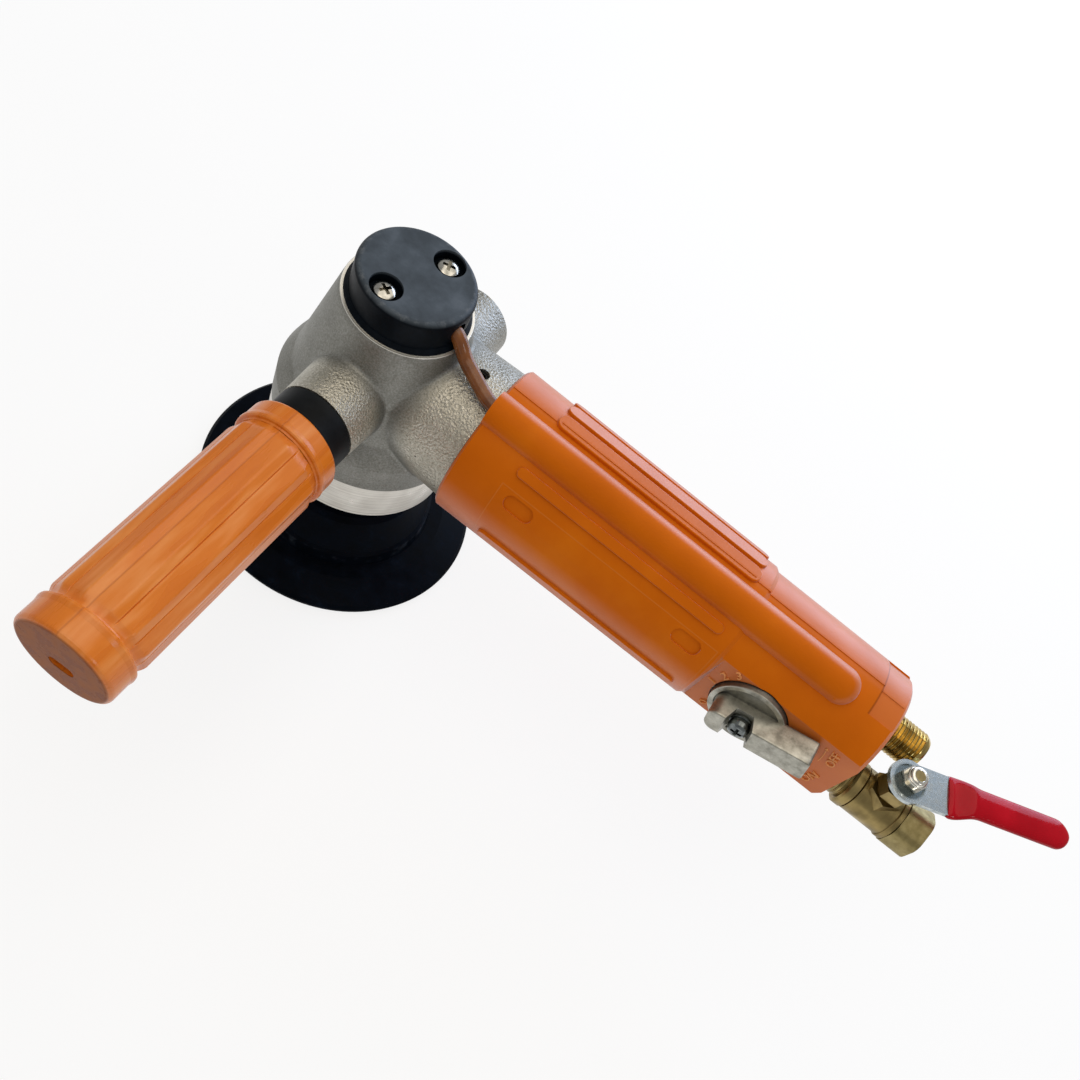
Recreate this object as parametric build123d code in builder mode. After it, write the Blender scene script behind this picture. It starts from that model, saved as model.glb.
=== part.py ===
"""Pneumatic wet polisher with a right-angle bevel head, a vane motor and a water feed.

Frame: millimetres, +Z along the spindle away from the pad face, which lies at z = 0.
+X runs along the main handle to its rear end, the side handle points to -Y.
"""
import os
from math import acos, atan2, cos, degrees, hypot, pi, radians, sin, tan

from build123d import *

os.makedirs("parts", exist_ok=True)

# clearances shared by every pair of pieces
RUN_GAP = 0.05
BODY_GAP = 0.3
CUT = 1.0

# backing pad and hook face
PAD_R = 50.0
HOOK_T = 1.5
PAD_RIM_T = 1.8
PAD_RIM_ROUND = 1.2
PAD_STEP_R = 39.0
PAD_STEP_RISE = 2.7
PAD_CROWN_R = 33.2
PAD_CROWN_RISE = 5.0
PAD_TOP_R = 27.0
PAD_H = 22.5
PAD_WATER_R = 5.0

# threaded pad insert
INSERT_R = 11.0
INSERT_FLANGE_R = 22.0
INSERT_FLANGE_T = 2.5
INSERT_DEPTH = 20.0
INSERT_STAND = 3.0
SPINDLE_THREAD_R = 7.0

# spindle and its lower shoulder
SHOULDER_R = 12.0
SHOULDER_H = 8.5
SHOULDER_FLATS = 17.0
WATER_BORE_R = 3.0
THREAD_RUN = 15.0

# machined bearing cap under the bell
RING_R = 31.6
RING_H = 16.0
RING_SPIGOT_R = 27.4
RING_SPIGOT_H = 5.7
RING_LIP_T = 1.0
RING_CHAMFER = 0.6
SEAL_R = 14.0
SEAL_H = 3.2

# ball bearings
LOWER_BORE_R = 8.5
LOWER_OUTER_R = 17.5
LOWER_W = 10.0
LOWER_WALL = 2.6
UPPER_BORE_R = 6.0
UPPER_OUTER_R = 14.0
UPPER_W = 8.0
UPPER_WALL = 2.3
PINION_BORE_R = 7.5
PINION_OUTER_R = 16.0
PINION_W = 9.0
PINION_WALL = 2.5
ROTOR_BORE_R = 5.0
ROTOR_OUTER_R = 13.0
ROTOR_W = 8.0
ROTOR_WALL = 2.3

# gear head casting
HEAD_RISE = 24.7
BELL_R = 31.8
BELL_SHOULDER_RISE = 10.2
BELL_ARC_IN = 1.2
BELL_ARC_UP = 2.9
FOOT_ROUND = 2.0
NECK_FILLET = 1.6
BOSS_FILLET = 1.5
BARREL_FOOT_R = 28.1
BARREL_FOOT_DROP = 7.0
BARREL_TOP_R = 20.8
LAND_R = 19.6
LAND_H = 2.2
BARREL_H = 27.4
CHAMBER_R = 24.6
CHAMBER_H = 13.0
WATER_SEAL_R = 8.5
WATER_SEAL_H = 4.0
NECK_FRONT_R = 21.4
NECK_REAR_R = 23.2
NECK_END_X = 37.7
SPIGOT_LEN = 12.3
SPIGOT_BORE_R = 17.0
PINION_ROOM_R = 12.4

# side handle bosses and side handle
LEFT_BOSS_R = 12.7
LEFT_BOSS_ROOT_R = 14.2
BOSS_R = 12.0
BOSS_ROOT_R = 13.4
BOSS_Z_ABOVE_AXIS = 3.15
LEFT_BOSS_END = 37.9
RIGHT_BOSS_X = 11.0
RIGHT_BOSS_END = 34.0
HANDLE_THREAD_R = 5.0
HANDLE_THREAD_DEPTH = 15.0
COLLAR_R = 12.6
COLLAR_EDGE = 0.5
COLLAR_LEN = 10.4
GRIP_LEN = 92.4
GRIP_BAND_R = 15.0
GRIP_LIP_R = 15.4
GRIP_LIP_W = 1.5
GRIP_LIP_ROUND = 0.2
GRIP_FRONT_BAND = 7.7
GRIP_REAR_BAND = 9.7
GRIP_BODY_R = 15.2
GRIP_SIDES = 12
GRIP_CORNER_R = 6.0
GRIP_END_ROUND = 1.6
GRIP_FRONT_ROUND = 0.8
GRIP_GROOVE_W = 0.9
GRIP_GROOVE_D = 0.8
GRIP_VALLEY_W = 3.2
GRIP_VALLEY_D = 0.9
GRIP_VALLEY_FOOT = 0.8
STUD_GRIP_LEN = 70.0
END_SLOT_L = 8.5
END_SLOT_W = 4.0
END_SLOT_DEPTH = 18.0
END_SLOT_DROP = 2.4

# water cap
GASKET_T = 0.5
CAP_R = 18.1
CAP_H = 10.4
CAP_ROUND = 1.8
CAP_SCREW_PCD_R = 11.65
CAP_SCREW_ANGLE = 72.0
CAP_CBORE_R = 5.0
CAP_CBORE_D = 3.3
CAP_SCREW_R = 2.0
CAP_SCREW_LEN = 13.0
CAP_HEAD_R = 3.6
CAP_HEAD_H = 2.5
CAP_CHANNEL_R = 2.0

# straight bevel pair
GEAR_PITCH_R = 22.5
PINION_TEETH = 12
GEAR_TEETH = 30
BEVEL_FACE = 7.0
BEVEL_SHIFT = 0.4
BEVEL_DEPTH = 0.85
BEVEL_TIP_GAP = 0.2
BEVEL_BACKLASH = 0.14
PRESSURE_ANGLE = 20.0
GEAR_BACK = 14.5
GEAR_HUB_R = 13.0
GEAR_HUB_END = 22.0
GEAR_SEAT_R = 8.0
KEY_W = 3.0
KEY_H = 3.0
KEY_L = 7.0
NUT_R = 12.0
NUT_H = 4.0
NUT_SLOT_W = 3.0
NUT_SLOT_D = 1.6
NUT_SEAT_R = 7.5

# pinion shaft and its bearing
PINION_HUB_R = 9.2
PINION_BEARING_X = 27.0
PINION_SHAFT_R = 7.0
PINION_END_X = 55.0
COUPLING_AF = 8.0
COUPLING_DEPTH = 9.0
RETAINER_T = 4.0
RETAINER_BORE_R = 10.0
SET_SCREW_X = 29.2
SET_SCREW_R = 2.0
SET_SCREW_SINK = 0.8
SET_SCREW_HEX = 2.0

# vane motor
MOTOR_TUBE_R = 22.6
MOTOR_BORE_R = 20.2
PLATE_X = 57.0
PLATE_T = 10.0
MOTOR_END_GAP = 9.2
CYLINDER_BORE_R = 15.5
CYLINDER_OFFSET = 2.0
ROTOR_R = 13.2
ROTOR_END_GAP = 0.3
VANES = 5
VANE_T = 2.6
VANE_DEPTH = 7.0
VANE_SINK = 0.1
DOWEL_R = 1.5
DOWEL_DROP = 16.9
PORT_W = 4.0
PORT_L = 9.0

# backhead
BACKHEAD_SPIGOT = 5.5
BACKHEAD_R = 21.6
BACKHEAD_FLAT = 18.4
AIR_PASS_R = 4.5
AIR_OUT_Y = -2.0
EXHAUST_Y = 7.0
EXHAUST_DROP = 13.2
EXHAUST_R = 4.0
SILENCER_R = 5.0
SILENCER_LEN = 9.0
WATER_DRILL_R = 1.8

# grip sleeve
SLEEVE_R = 25.3
SLEEVE_REAR_R = 24.3
SLEEVE_LEN = 155.0
SLEEVE_REAR_LEN = 56.0
SHOULDER_SLOPE = 3.0
SLEEVE_FLAT = 20.5
SLEEVE_EDGE = 0.8
SLEEVE_REAR_EDGE = 1.6
RIDGE_ANGLE = 19.5
RIDGE_ROUND_R = 6.1
RIDGE_CENTRE_R = 23.7
RIDGE_BACK = 22.5
RIB_START = 17.0
RIB_BACK = 5.0
RIB_H = 1.0
RIB_EDGE = 0.4
TOP_RIBS = 5
TOP_RIB_ANGLE = 5.5
TOP_RIB_PITCH = 17.5
TOP_RIB_W = 6.4
SIDE_RIB_ANGLE = 42.2
SIDE_RIB_W = 3.4
LOW_RIB_ANGLE = 105.0
LOW_RIB_W = 4.4
PILL_ANGLE = 64.0
PILL_L = 10.2
PILL_W = 5.3
PILL_D = 0.8
PILL_FRONT = 23.8
PILL_REAR_BACK = 11.3
BAND_LEN = 10.5
BAND_R = 23.7
BAND_FROM = 24.0
BAND_TO = -44.0
SEAM_W = 0.7
SEAM_H = 0.25
SEAM_ANGLE = -3.2
SEAM_BAND_ANGLE = 1.2
RIB_SINK = 2.5
TOP_RIB_ROUND = 2.9
SIDE_RIB_ROUND = 1.6
LOW_RIB_ROUND = 2.1
PILL_ROUND = 2.4

# throttle
THROTTLE_BACK = 37.0
DISC_R = 13.0
DISC_WINDOW_GAP = 0.5
DISC_PROUD = 1.2
DISC_RIM_W = 2.0
DISC_RIM_H = 0.8
DISC_RIM_EDGE = 0.4
BAR_HIGH = 5.5
BAR_LOW = 3.9
BAR_REACH = 24.0
BAR_TAIL = 10.6
BAR_END_ROUND = 1.0
BAR_TAIL_ROUND = 3.4
BAR_EDGE = 0.7
BAR_TOP = 30.7
BAR_NOTCH = 5.8
BAR_NOTCH_MOUTH = 9.6
BAR_NOTCH_SHIFT = 0.3
BAR_NOTCH_FLOOR = 25.2
BAR_SEAT_R = 4.3
BAR_OFF_ANGLE = 15.0
THROTTLE_TRAVEL = 60.0
SPOOL_BORE_R = 8.0
SPOOL_DEPTH = 28.0
SPOOL_TANG_AF = 7.0
SPOOL_TANG_H = 3.0
SPOOL_PORT_R = 4.0
ORING_W = 1.8
ORING_DEPTH = 1.4
ORING_INSET = 3.2
LEVER_SCREW_R = 2.0
LEVER_SCREW_LEN = 14.0
LEVER_WASHER_R = 3.9
LEVER_WASHER_T = 1.0
LEVER_HEAD_R = 3.6
LEVER_HEAD_H = 3.6
LEVER_HEAD_ROUND = 1.2

# air inlet nipple
NIPPLE_Y = 5.0
NIPPLE_Z_ABOVE_AXIS = 5.0
NIPPLE_ROOT_R = 6.4
NIPPLE_ROOT_LEN = 14.0
NIPPLE_HEX_AF = 14.6
NIPPLE_HEX_LEN = 8.4
NIPPLE_R = 6.6
NIPPLE_LEN = 9.2
NIPPLE_BORE_R = 4.2

# water ball valve
VALVE_Y = -9.5
VALVE_DROP = 10.5
VALVE_ROOT_LEN = 10.0
VALVE_THREAD_R = 6.5
VALVE_THREAD_OUT = 5.6
VALVE_FLANGE_R = 8.5
VALVE_FLANGE_T = 4.0
VALVE_BODY_R = 8.2
VALVE_BODY_LEN = 14.6
VALVE_RING_R = 8.7
VALVE_RING_T = 2.2
VALVE_END_AF = 17.0
VALVE_END_LEN = 11.8
VALVE_BORE_R = 3.2
VALVE_INLET_R = 5.7
VALVE_INLET_DEPTH = 10.0
BALL_R = 5.4
SEAT_T = 1.5
STEM_BACK = 7.2
STEM_R = 2.8
BONNET_AF = 11.6
BONNET_R = 4.8
BONNET_HEX_RISE = 9.6
BONNET_RISE = 11.2
VALVE_EDGE = 0.7
PACKING_AF = 11.0
PACKING_H = 4.6
STEM_THREAD_R = 2.5
LEVER_RISE = 18.0
LEVER_T = 1.6
LEVER_EYE_R = 7.4
LEVER_W = 13.4
LEVER_LEN = 59.4
LEVER_TAPER_FROM = 17.0
LEVER_TAPER_TO = 25.5
LEVER_TIP_W = 9.4
LEVER_JOGGLE_FROM = 16.5
LEVER_JOGGLE_TO = 23.0
LEVER_JOGGLE = 2.3
LEVER_BEND_R = 5.0
LEVER_DISH_R = 5.8
LEVER_DISH_D = 0.5
LEVER_OPEN_ANGLE = 20.0
LEVER_GRIP_FROM = 14.6
LEVER_COAT = 0.6
LEVER_COAT_T = 0.9
LEVER_NUT_AF = 8.0
LEVER_NUT_H = 3.0
LEVER_COLLAR_R = 3.6
LEVER_COLLAR_H = 1.8
STEM_PROUD = 0.9

# water tube
TUBE_R = 2.3
TUBE_RIDGE_R = 26.0
TUBE_RIDGE_ANGLE = 20.6
TUBE_CAP_IN = 9.7
TUBE_CAP_Z = 4.9
TUBE_CAP_ANGLE = -8.0
TUBE_EXIT_IN = 18.1
TUBE_EXIT_DROP = 0.7
TUBE_KNEE_IN = 23.8
TUBE_KNEE_DROP = 5.8
TUBE_KNEE_ANGLE = -9.4
TUBE_LAND_X = 37.0
TUBE_DROP_BACK = 28.5
TUBE_SINK = 5.0
TUBE_BENDS = [8.0, 9.0, 20.0, 8.0]
CAP_EXIT_R = 3.0
CAP_EXIT_IN = 4.5
CAP_EXIT_LEN = 6.0

# each bearing as bore radius, outside radius, width and race wall
LOWER_BEARING = (LOWER_BORE_R, LOWER_OUTER_R, LOWER_W, LOWER_WALL)
UPPER_BEARING = (UPPER_BORE_R, UPPER_OUTER_R, UPPER_W, UPPER_WALL)
PINION_BEARING = (PINION_BORE_R, PINION_OUTER_R, PINION_W, PINION_WALL)
ROTOR_BEARING = (ROTOR_BORE_R, ROTOR_OUTER_R, ROTOR_W, ROTOR_WALL)

# heights along the spindle
INSERT_TOP_Z = HOOK_T + PAD_H + INSERT_STAND
RING_Z = INSERT_TOP_Z + SHOULDER_H + 0.8
HEAD_Z = RING_Z + RING_H
AXIS_Z = HEAD_Z + HEAD_RISE
BARREL_Z = AXIS_Z + BARREL_H
CAP_Z = BARREL_Z + GASKET_T
CAP_TOP_Z = CAP_Z + CAP_H
SEAL_Z = RING_Z + RING_LIP_T
LOWER_BEARING_Z = SEAL_Z + SEAL_H
LOWER_BEARING_TOP_Z = LOWER_BEARING_Z + LOWER_BEARING[2]
WATER_SEAL_TOP_Z = BARREL_Z - 4.4
WATER_SEAL_Z = WATER_SEAL_TOP_Z - WATER_SEAL_H
UPPER_BEARING_Z = WATER_SEAL_Z - 1.5 - UPPER_BEARING[2]
HANDLE_Z = AXIS_Z + BOSS_Z_ABOVE_AXIS

# stations along the main handle
SLEEVE_X = NECK_END_X + BODY_GAP
SLEEVE_END_X = SLEEVE_X + SLEEVE_LEN
SHOULDER_X = SLEEVE_END_X - SLEEVE_REAR_LEN
THROTTLE_X = SLEEVE_END_X - THROTTLE_BACK
RIDGE_END_X = SLEEVE_END_X - RIDGE_BACK
TUBE_DROP_X = SLEEVE_END_X - TUBE_DROP_BACK
BACKHEAD_END_X = SLEEVE_END_X - BODY_GAP
BACKHEAD_BODY_X = SHOULDER_X - MOTOR_END_GAP
BACKHEAD_X = BACKHEAD_BODY_X - BACKHEAD_SPIGOT
REAR_PLATE_X = BACKHEAD_X - BODY_GAP - PLATE_T
CYLINDER_X = PLATE_X + PLATE_T
CYLINDER_LEN = REAR_PLATE_X - CYLINDER_X
PINION_BEARING_END_X = PINION_BEARING_X + PINION_BEARING[2]
VALVE_Z = AXIS_Z - VALVE_DROP
VALVE_FLANGE_X = SLEEVE_END_X + VALVE_THREAD_OUT
VALVE_BODY_X = VALVE_FLANGE_X + VALVE_FLANGE_T
VALVE_END_X = VALVE_BODY_X + VALVE_BODY_LEN
STEM_X = VALVE_BODY_X + STEM_BACK
LEVER_Z = VALVE_Z + LEVER_RISE
NIPPLE_Z = AXIS_Z + NIPPLE_Z_ABOVE_AXIS

# bevel pair derived from the pitch radius of the gear
BEVEL_MODULE = 2 * GEAR_PITCH_R / GEAR_TEETH
PINION_PITCH_R = BEVEL_MODULE * PINION_TEETH / 2
CONE_DISTANCE = hypot(GEAR_PITCH_R, PINION_PITCH_R)
TOE_SCALE = (CONE_DISTANCE - BEVEL_FACE) / CONE_DISTANCE
GEAR_CONE = atan2(GEAR_PITCH_R, PINION_PITCH_R)
PINION_CONE = atan2(PINION_PITCH_R, GEAR_PITCH_R)
GEAR_ADDENDUM = BEVEL_MODULE * (BEVEL_DEPTH - BEVEL_SHIFT)
PINION_ADDENDUM = BEVEL_MODULE * (BEVEL_DEPTH + BEVEL_SHIFT)
GEAR_DEDENDUM = PINION_ADDENDUM + BEVEL_MODULE * BEVEL_TIP_GAP
PINION_DEDENDUM = GEAR_ADDENDUM + BEVEL_MODULE * BEVEL_TIP_GAP


def across(x, y=0.0, z=AXIS_Z):
    """Plane square to the main handle at station x, sketch axes along Y and Z."""
    return Plane(origin=(x, y, z), x_dir=(0, 1, 0), z_dir=(1, 0, 0))


def facing_left(y, x=0.0, z=HANDLE_Z):
    """Plane square to Y whose normal points to -Y, sketch axes along X and Z."""
    return Plane(origin=(x, y, z), x_dir=(1, 0, 0), z_dir=(0, -1, 0))


def facing_right(y, x=0.0, z=HANDLE_Z):
    """Plane square to Y whose normal points to +Y."""
    return Plane(origin=(x, y, z), x_dir=(-1, 0, 0), z_dir=(0, 1, 0))


def tangent(angle, radius, x):
    """Plane that touches the sleeve at an angle from the top towards -Y."""
    a = radians(angle)
    out = (0, -sin(a), cos(a))
    return Plane(origin=(x, radius * out[1], AXIS_Z + radius * out[2]), x_dir=(1, 0, 0), z_dir=out)


def polar_yz(angle, radius):
    """Sketch point on an across plane at an angle from the top towards -Y."""
    a = radians(angle)
    return (-radius * sin(a), radius * cos(a))


def wedge(start, stop, radius):
    """Sketch points of a wedge between two angles from the top towards -Y."""
    steps = 8
    rim = [polar_yz(start + (stop - start) * i / steps, radius) for i in range(steps + 1)]
    return [(0.0, 0.0)] + rim


def ring_piece(plane, outer, inner, length):
    """Plain ring on a plane, used for races, seals and spacers."""
    with BuildPart() as piece:
        with BuildSketch(plane):
            Circle(outer)
            Circle(inner, mode=Mode.SUBTRACT)
        extrude(amount=length)
    return piece.part


def blend(builder, radius):
    """Cast fillet along the edges that the last union made, smaller where the room is less."""
    edges = builder.edges(Select.NEW)
    for share in (1.0, 0.7, 0.5, 0.3):
        try:
            fillet(edges, radius * share)
            return
        except ValueError:
            continue


def outer_race(plane, bearing):
    """Outer race of a ball bearing that starts on a plane."""
    return ring_piece(plane, bearing[1], bearing[1] - bearing[3], bearing[2])


def inner_race(plane, bearing):
    """Inner race of a ball bearing that starts on a plane."""
    return ring_piece(plane, bearing[0] + bearing[3], bearing[0], bearing[2])


def involute(angle):
    return tan(angle) - angle


def tooth_outline(teeth, cone, addendum, dedendum, shift, scale):
    """Outline of one bevel tooth on its back cone, width along x, height along y."""
    virtual_r = BEVEL_MODULE * teeth / 2 / cos(cone)
    base_r = virtual_r * cos(radians(PRESSURE_ANGLE))
    thickness = BEVEL_MODULE * (pi / 2 + 2 * shift * tan(radians(PRESSURE_ANGLE))) - BEVEL_BACKLASH
    half = thickness / 2 / virtual_r + involute(radians(PRESSURE_ANGLE))
    foot = virtual_r - dedendum
    tip = virtual_r + addendum
    low = max(base_r, foot + 0.02)
    flank = [foot - 0.25 * BEVEL_MODULE] + [low + (tip - low) * i / 4 for i in range(5)]
    right = []
    for r in flank:
        turn = half - involute(acos(base_r / max(r, base_r)))
        right.append((r * sin(turn) * scale, (r * cos(turn) - virtual_r) * scale))
    return right + [(-x, y) for x, y in reversed(right)]


def bevel_tooth(teeth, cone, addendum, dedendum, shift):
    """One bevel tooth with the cone apex at the origin and the axis along +Z."""
    with BuildPart() as tooth:
        for scale in (1.0, TOE_SCALE):
            reach = CONE_DISTANCE * scale
            origin = (reach * sin(cone), 0, reach * cos(cone))
            plane = Plane(origin=origin, x_dir=(0, -1, 0), z_dir=(sin(cone), 0, cos(cone)))
            with BuildSketch(plane):
                Polygon(*tooth_outline(teeth, cone, addendum, dedendum, shift, scale), align=None)
        loft(ruled=True)
    return tooth.part


def root_point(cone, dedendum, scale):
    """Point of the root cone as radius and distance from the apex."""
    reach = CONE_DISTANCE
    r = (reach * sin(cone) - dedendum * cos(cone)) * scale
    z = (reach * cos(cone) + dedendum * sin(cone)) * scale
    return (r, z)


# hook face on the underside of the pad
with BuildPart() as hook_face:
    with BuildSketch():
        Circle(PAD_R - 0.6)
        Circle(PAD_WATER_R, mode=Mode.SUBTRACT)
    extrude(amount=HOOK_T)

# threaded steel insert moulded into the pad
INSERT_Z = INSERT_TOP_Z - INSERT_DEPTH
with BuildPart() as pad_insert:
    with BuildSketch(Plane.XY.offset(INSERT_Z)):
        Circle(INSERT_FLANGE_R)
    extrude(amount=INSERT_FLANGE_T)
    with BuildSketch(Plane.XY.offset(INSERT_Z)):
        Circle(INSERT_R)
    extrude(amount=INSERT_DEPTH)
    with BuildSketch(Plane.XY.offset(INSERT_Z)):
        Circle(SPINDLE_THREAD_R)
    extrude(amount=INSERT_DEPTH, mode=Mode.SUBTRACT)

# rubber pad with a thin rim, a step and a raised crown
RIM_TOP_Z = HOOK_T + PAD_RIM_T
STEP_Z = RIM_TOP_Z + PAD_STEP_RISE
CROWN_Z = STEP_Z + PAD_CROWN_RISE
PAD_TOP_Z = HOOK_T + PAD_H
with BuildPart() as backing_pad:
    with BuildSketch(Plane.XZ):
        with BuildLine():
            Polyline(
                (PAD_WATER_R, HOOK_T),
                (PAD_R, HOOK_T),
                (PAD_R, RIM_TOP_Z - PAD_RIM_ROUND),
                (PAD_R - PAD_RIM_ROUND, RIM_TOP_Z),
                (PAD_STEP_R, STEP_Z),
                (PAD_CROWN_R + 0.8, STEP_Z + 0.5),
                (PAD_CROWN_R, CROWN_Z),
                (PAD_CROWN_R - 1.2, CROWN_Z + 0.9),
                (PAD_TOP_R, PAD_TOP_Z - 1.5),
                (PAD_TOP_R - 2.0, PAD_TOP_Z),
                (PAD_WATER_R, PAD_TOP_Z),
                close=True,
            )
        make_face()
    revolve(axis=Axis.Z)
    with BuildSketch(Plane.XY.offset(INSERT_Z)):
        Circle(SPINDLE_THREAD_R)
    extrude(amount=INSERT_DEPTH, mode=Mode.SUBTRACT)
    add(pad_insert.part, mode=Mode.SUBTRACT)

# hollow spindle
GEAR_TOP_Z = AXIS_Z - root_point(GEAR_CONE, GEAR_DEDENDUM, TOE_SCALE)[1]
GEAR_HUB_Z = AXIS_Z - GEAR_HUB_END
SPINDLE_NOSE_Z = INSERT_TOP_Z - THREAD_RUN
SPINDLE_TOP_Z = WATER_SEAL_TOP_Z - 0.6
KEY_Z = (GEAR_HUB_Z + GEAR_TOP_Z) / 2 - KEY_L / 2
with BuildPart() as spindle:
    with BuildSketch(Plane.XZ):
        with BuildLine():
            Polyline(
                (WATER_BORE_R, SPINDLE_NOSE_Z),
                (SPINDLE_THREAD_R, SPINDLE_NOSE_Z),
                (SPINDLE_THREAD_R, INSERT_TOP_Z),
                (SHOULDER_R, INSERT_TOP_Z),
                (SHOULDER_R, INSERT_TOP_Z + SHOULDER_H),
                (LOWER_BEARING[0], INSERT_TOP_Z + SHOULDER_H),
                (LOWER_BEARING[0], LOWER_BEARING_TOP_Z),
                (LOWER_BEARING[0] + 2.0, LOWER_BEARING_TOP_Z),
                (LOWER_BEARING[0] + 2.0, GEAR_HUB_Z),
                (GEAR_SEAT_R, GEAR_HUB_Z),
                (GEAR_SEAT_R, GEAR_TOP_Z),
                (NUT_SEAT_R, GEAR_TOP_Z),
                (NUT_SEAT_R, UPPER_BEARING_Z),
                (UPPER_BEARING[0], UPPER_BEARING_Z),
                (UPPER_BEARING[0], SPINDLE_TOP_Z),
                (WATER_BORE_R, SPINDLE_TOP_Z),
                close=True,
            )
        make_face()
    revolve(axis=Axis.Z)
    for side in (-1, 1):
        with BuildSketch(Plane.XY.offset(INSERT_TOP_Z + 0.8)):
            with Locations((side * (SHOULDER_FLATS / 2 + SHOULDER_R / 2), 0)):
                Rectangle(SHOULDER_R, 2 * SHOULDER_R)
        extrude(amount=SHOULDER_H - 2.4, mode=Mode.SUBTRACT)
    with BuildSketch(Plane.XY.offset(KEY_Z)):
        with Locations((-GEAR_SEAT_R, 0)):
            Rectangle(KEY_H, KEY_W)
    extrude(amount=KEY_L, mode=Mode.SUBTRACT)

# key between spindle and driven gear
with BuildPart() as gear_key:
    with BuildSketch(Plane.XY.offset(KEY_Z)):
        with Locations((-GEAR_SEAT_R, 0)):
            Rectangle(KEY_H, KEY_W)
    extrude(amount=KEY_L)

# driven bevel gear, drawn about its own apex and turned over onto the spindle
gear_tooth = bevel_tooth(GEAR_TEETH, GEAR_CONE, GEAR_ADDENDUM, GEAR_DEDENDUM, -BEVEL_SHIFT)
gear_heel = root_point(GEAR_CONE, GEAR_DEDENDUM, 1.0)
gear_toe = root_point(GEAR_CONE, GEAR_DEDENDUM, TOE_SCALE)
with BuildPart() as gear_blank:
    with BuildSketch(Plane.XZ):
        with BuildLine():
            Polyline(
                (GEAR_SEAT_R, gear_toe[1]),
                gear_toe,
                gear_heel,
                (gear_heel[0], GEAR_BACK),
                (GEAR_HUB_R, GEAR_BACK),
                (GEAR_HUB_R, GEAR_HUB_END),
                (GEAR_SEAT_R, GEAR_HUB_END),
                close=True,
            )
        make_face()
    revolve(axis=Axis.Z)
    with PolarLocations(0, GEAR_TEETH):
        add(gear_tooth)
apex_down = Plane(origin=(0, 0, AXIS_Z), x_dir=(1, 0, 0), z_dir=(0, 0, -1))
with BuildPart() as driven_gear:
    add(gear_blank.part.moved(apex_down.location))
    add(gear_key.part, mode=Mode.SUBTRACT)

# slotted nut that holds the gear
with BuildPart() as gear_nut:
    with BuildSketch(Plane.XY.offset(GEAR_TOP_Z)):
        Circle(NUT_R)
        with PolarLocations(NUT_R, 4):
            Rectangle(2 * NUT_SLOT_D, NUT_SLOT_W, mode=Mode.SUBTRACT)
        Circle(NUT_SEAT_R, mode=Mode.SUBTRACT)
    extrude(amount=NUT_H)

lower_inner = inner_race(Plane.XY.offset(LOWER_BEARING_Z), LOWER_BEARING)
lower_outer = outer_race(Plane.XY.offset(LOWER_BEARING_Z), LOWER_BEARING)
upper_inner = inner_race(Plane.XY.offset(UPPER_BEARING_Z), UPPER_BEARING)
upper_outer = outer_race(Plane.XY.offset(UPPER_BEARING_Z), UPPER_BEARING)
oil_seal = ring_piece(Plane.XY.offset(SEAL_Z), SEAL_R, LOWER_BEARING[0] + RUN_GAP, SEAL_H)
water_seal = ring_piece(
    Plane.XY.offset(WATER_SEAL_Z), WATER_SEAL_R, UPPER_BEARING[0] + RUN_GAP, WATER_SEAL_H
)

# machined cap that carries the lower bearing
with BuildPart() as bearing_cap:
    with BuildSketch(Plane.XZ):
        with BuildLine():
            Polyline(
                (SHOULDER_R + 0.8, RING_Z),
                (RING_R - RING_CHAMFER, RING_Z),
                (RING_R, RING_Z + RING_CHAMFER),
                (RING_R, HEAD_Z - RING_CHAMFER / 2),
                (RING_R - RING_CHAMFER / 2, HEAD_Z),
                (RING_SPIGOT_R, HEAD_Z),
                (RING_SPIGOT_R, HEAD_Z + RING_SPIGOT_H),
                (LOWER_BEARING[1] + 1.5, HEAD_Z + RING_SPIGOT_H),
                (LOWER_BEARING[1], LOWER_BEARING_TOP_Z + 0.5),
                (LOWER_BEARING[1], LOWER_BEARING_Z),
                (SEAL_R, LOWER_BEARING_Z),
                (SEAL_R, SEAL_Z),
                (SHOULDER_R + 0.8, SEAL_Z),
                close=True,
            )
        make_face()
    revolve(axis=Axis.Z)

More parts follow.
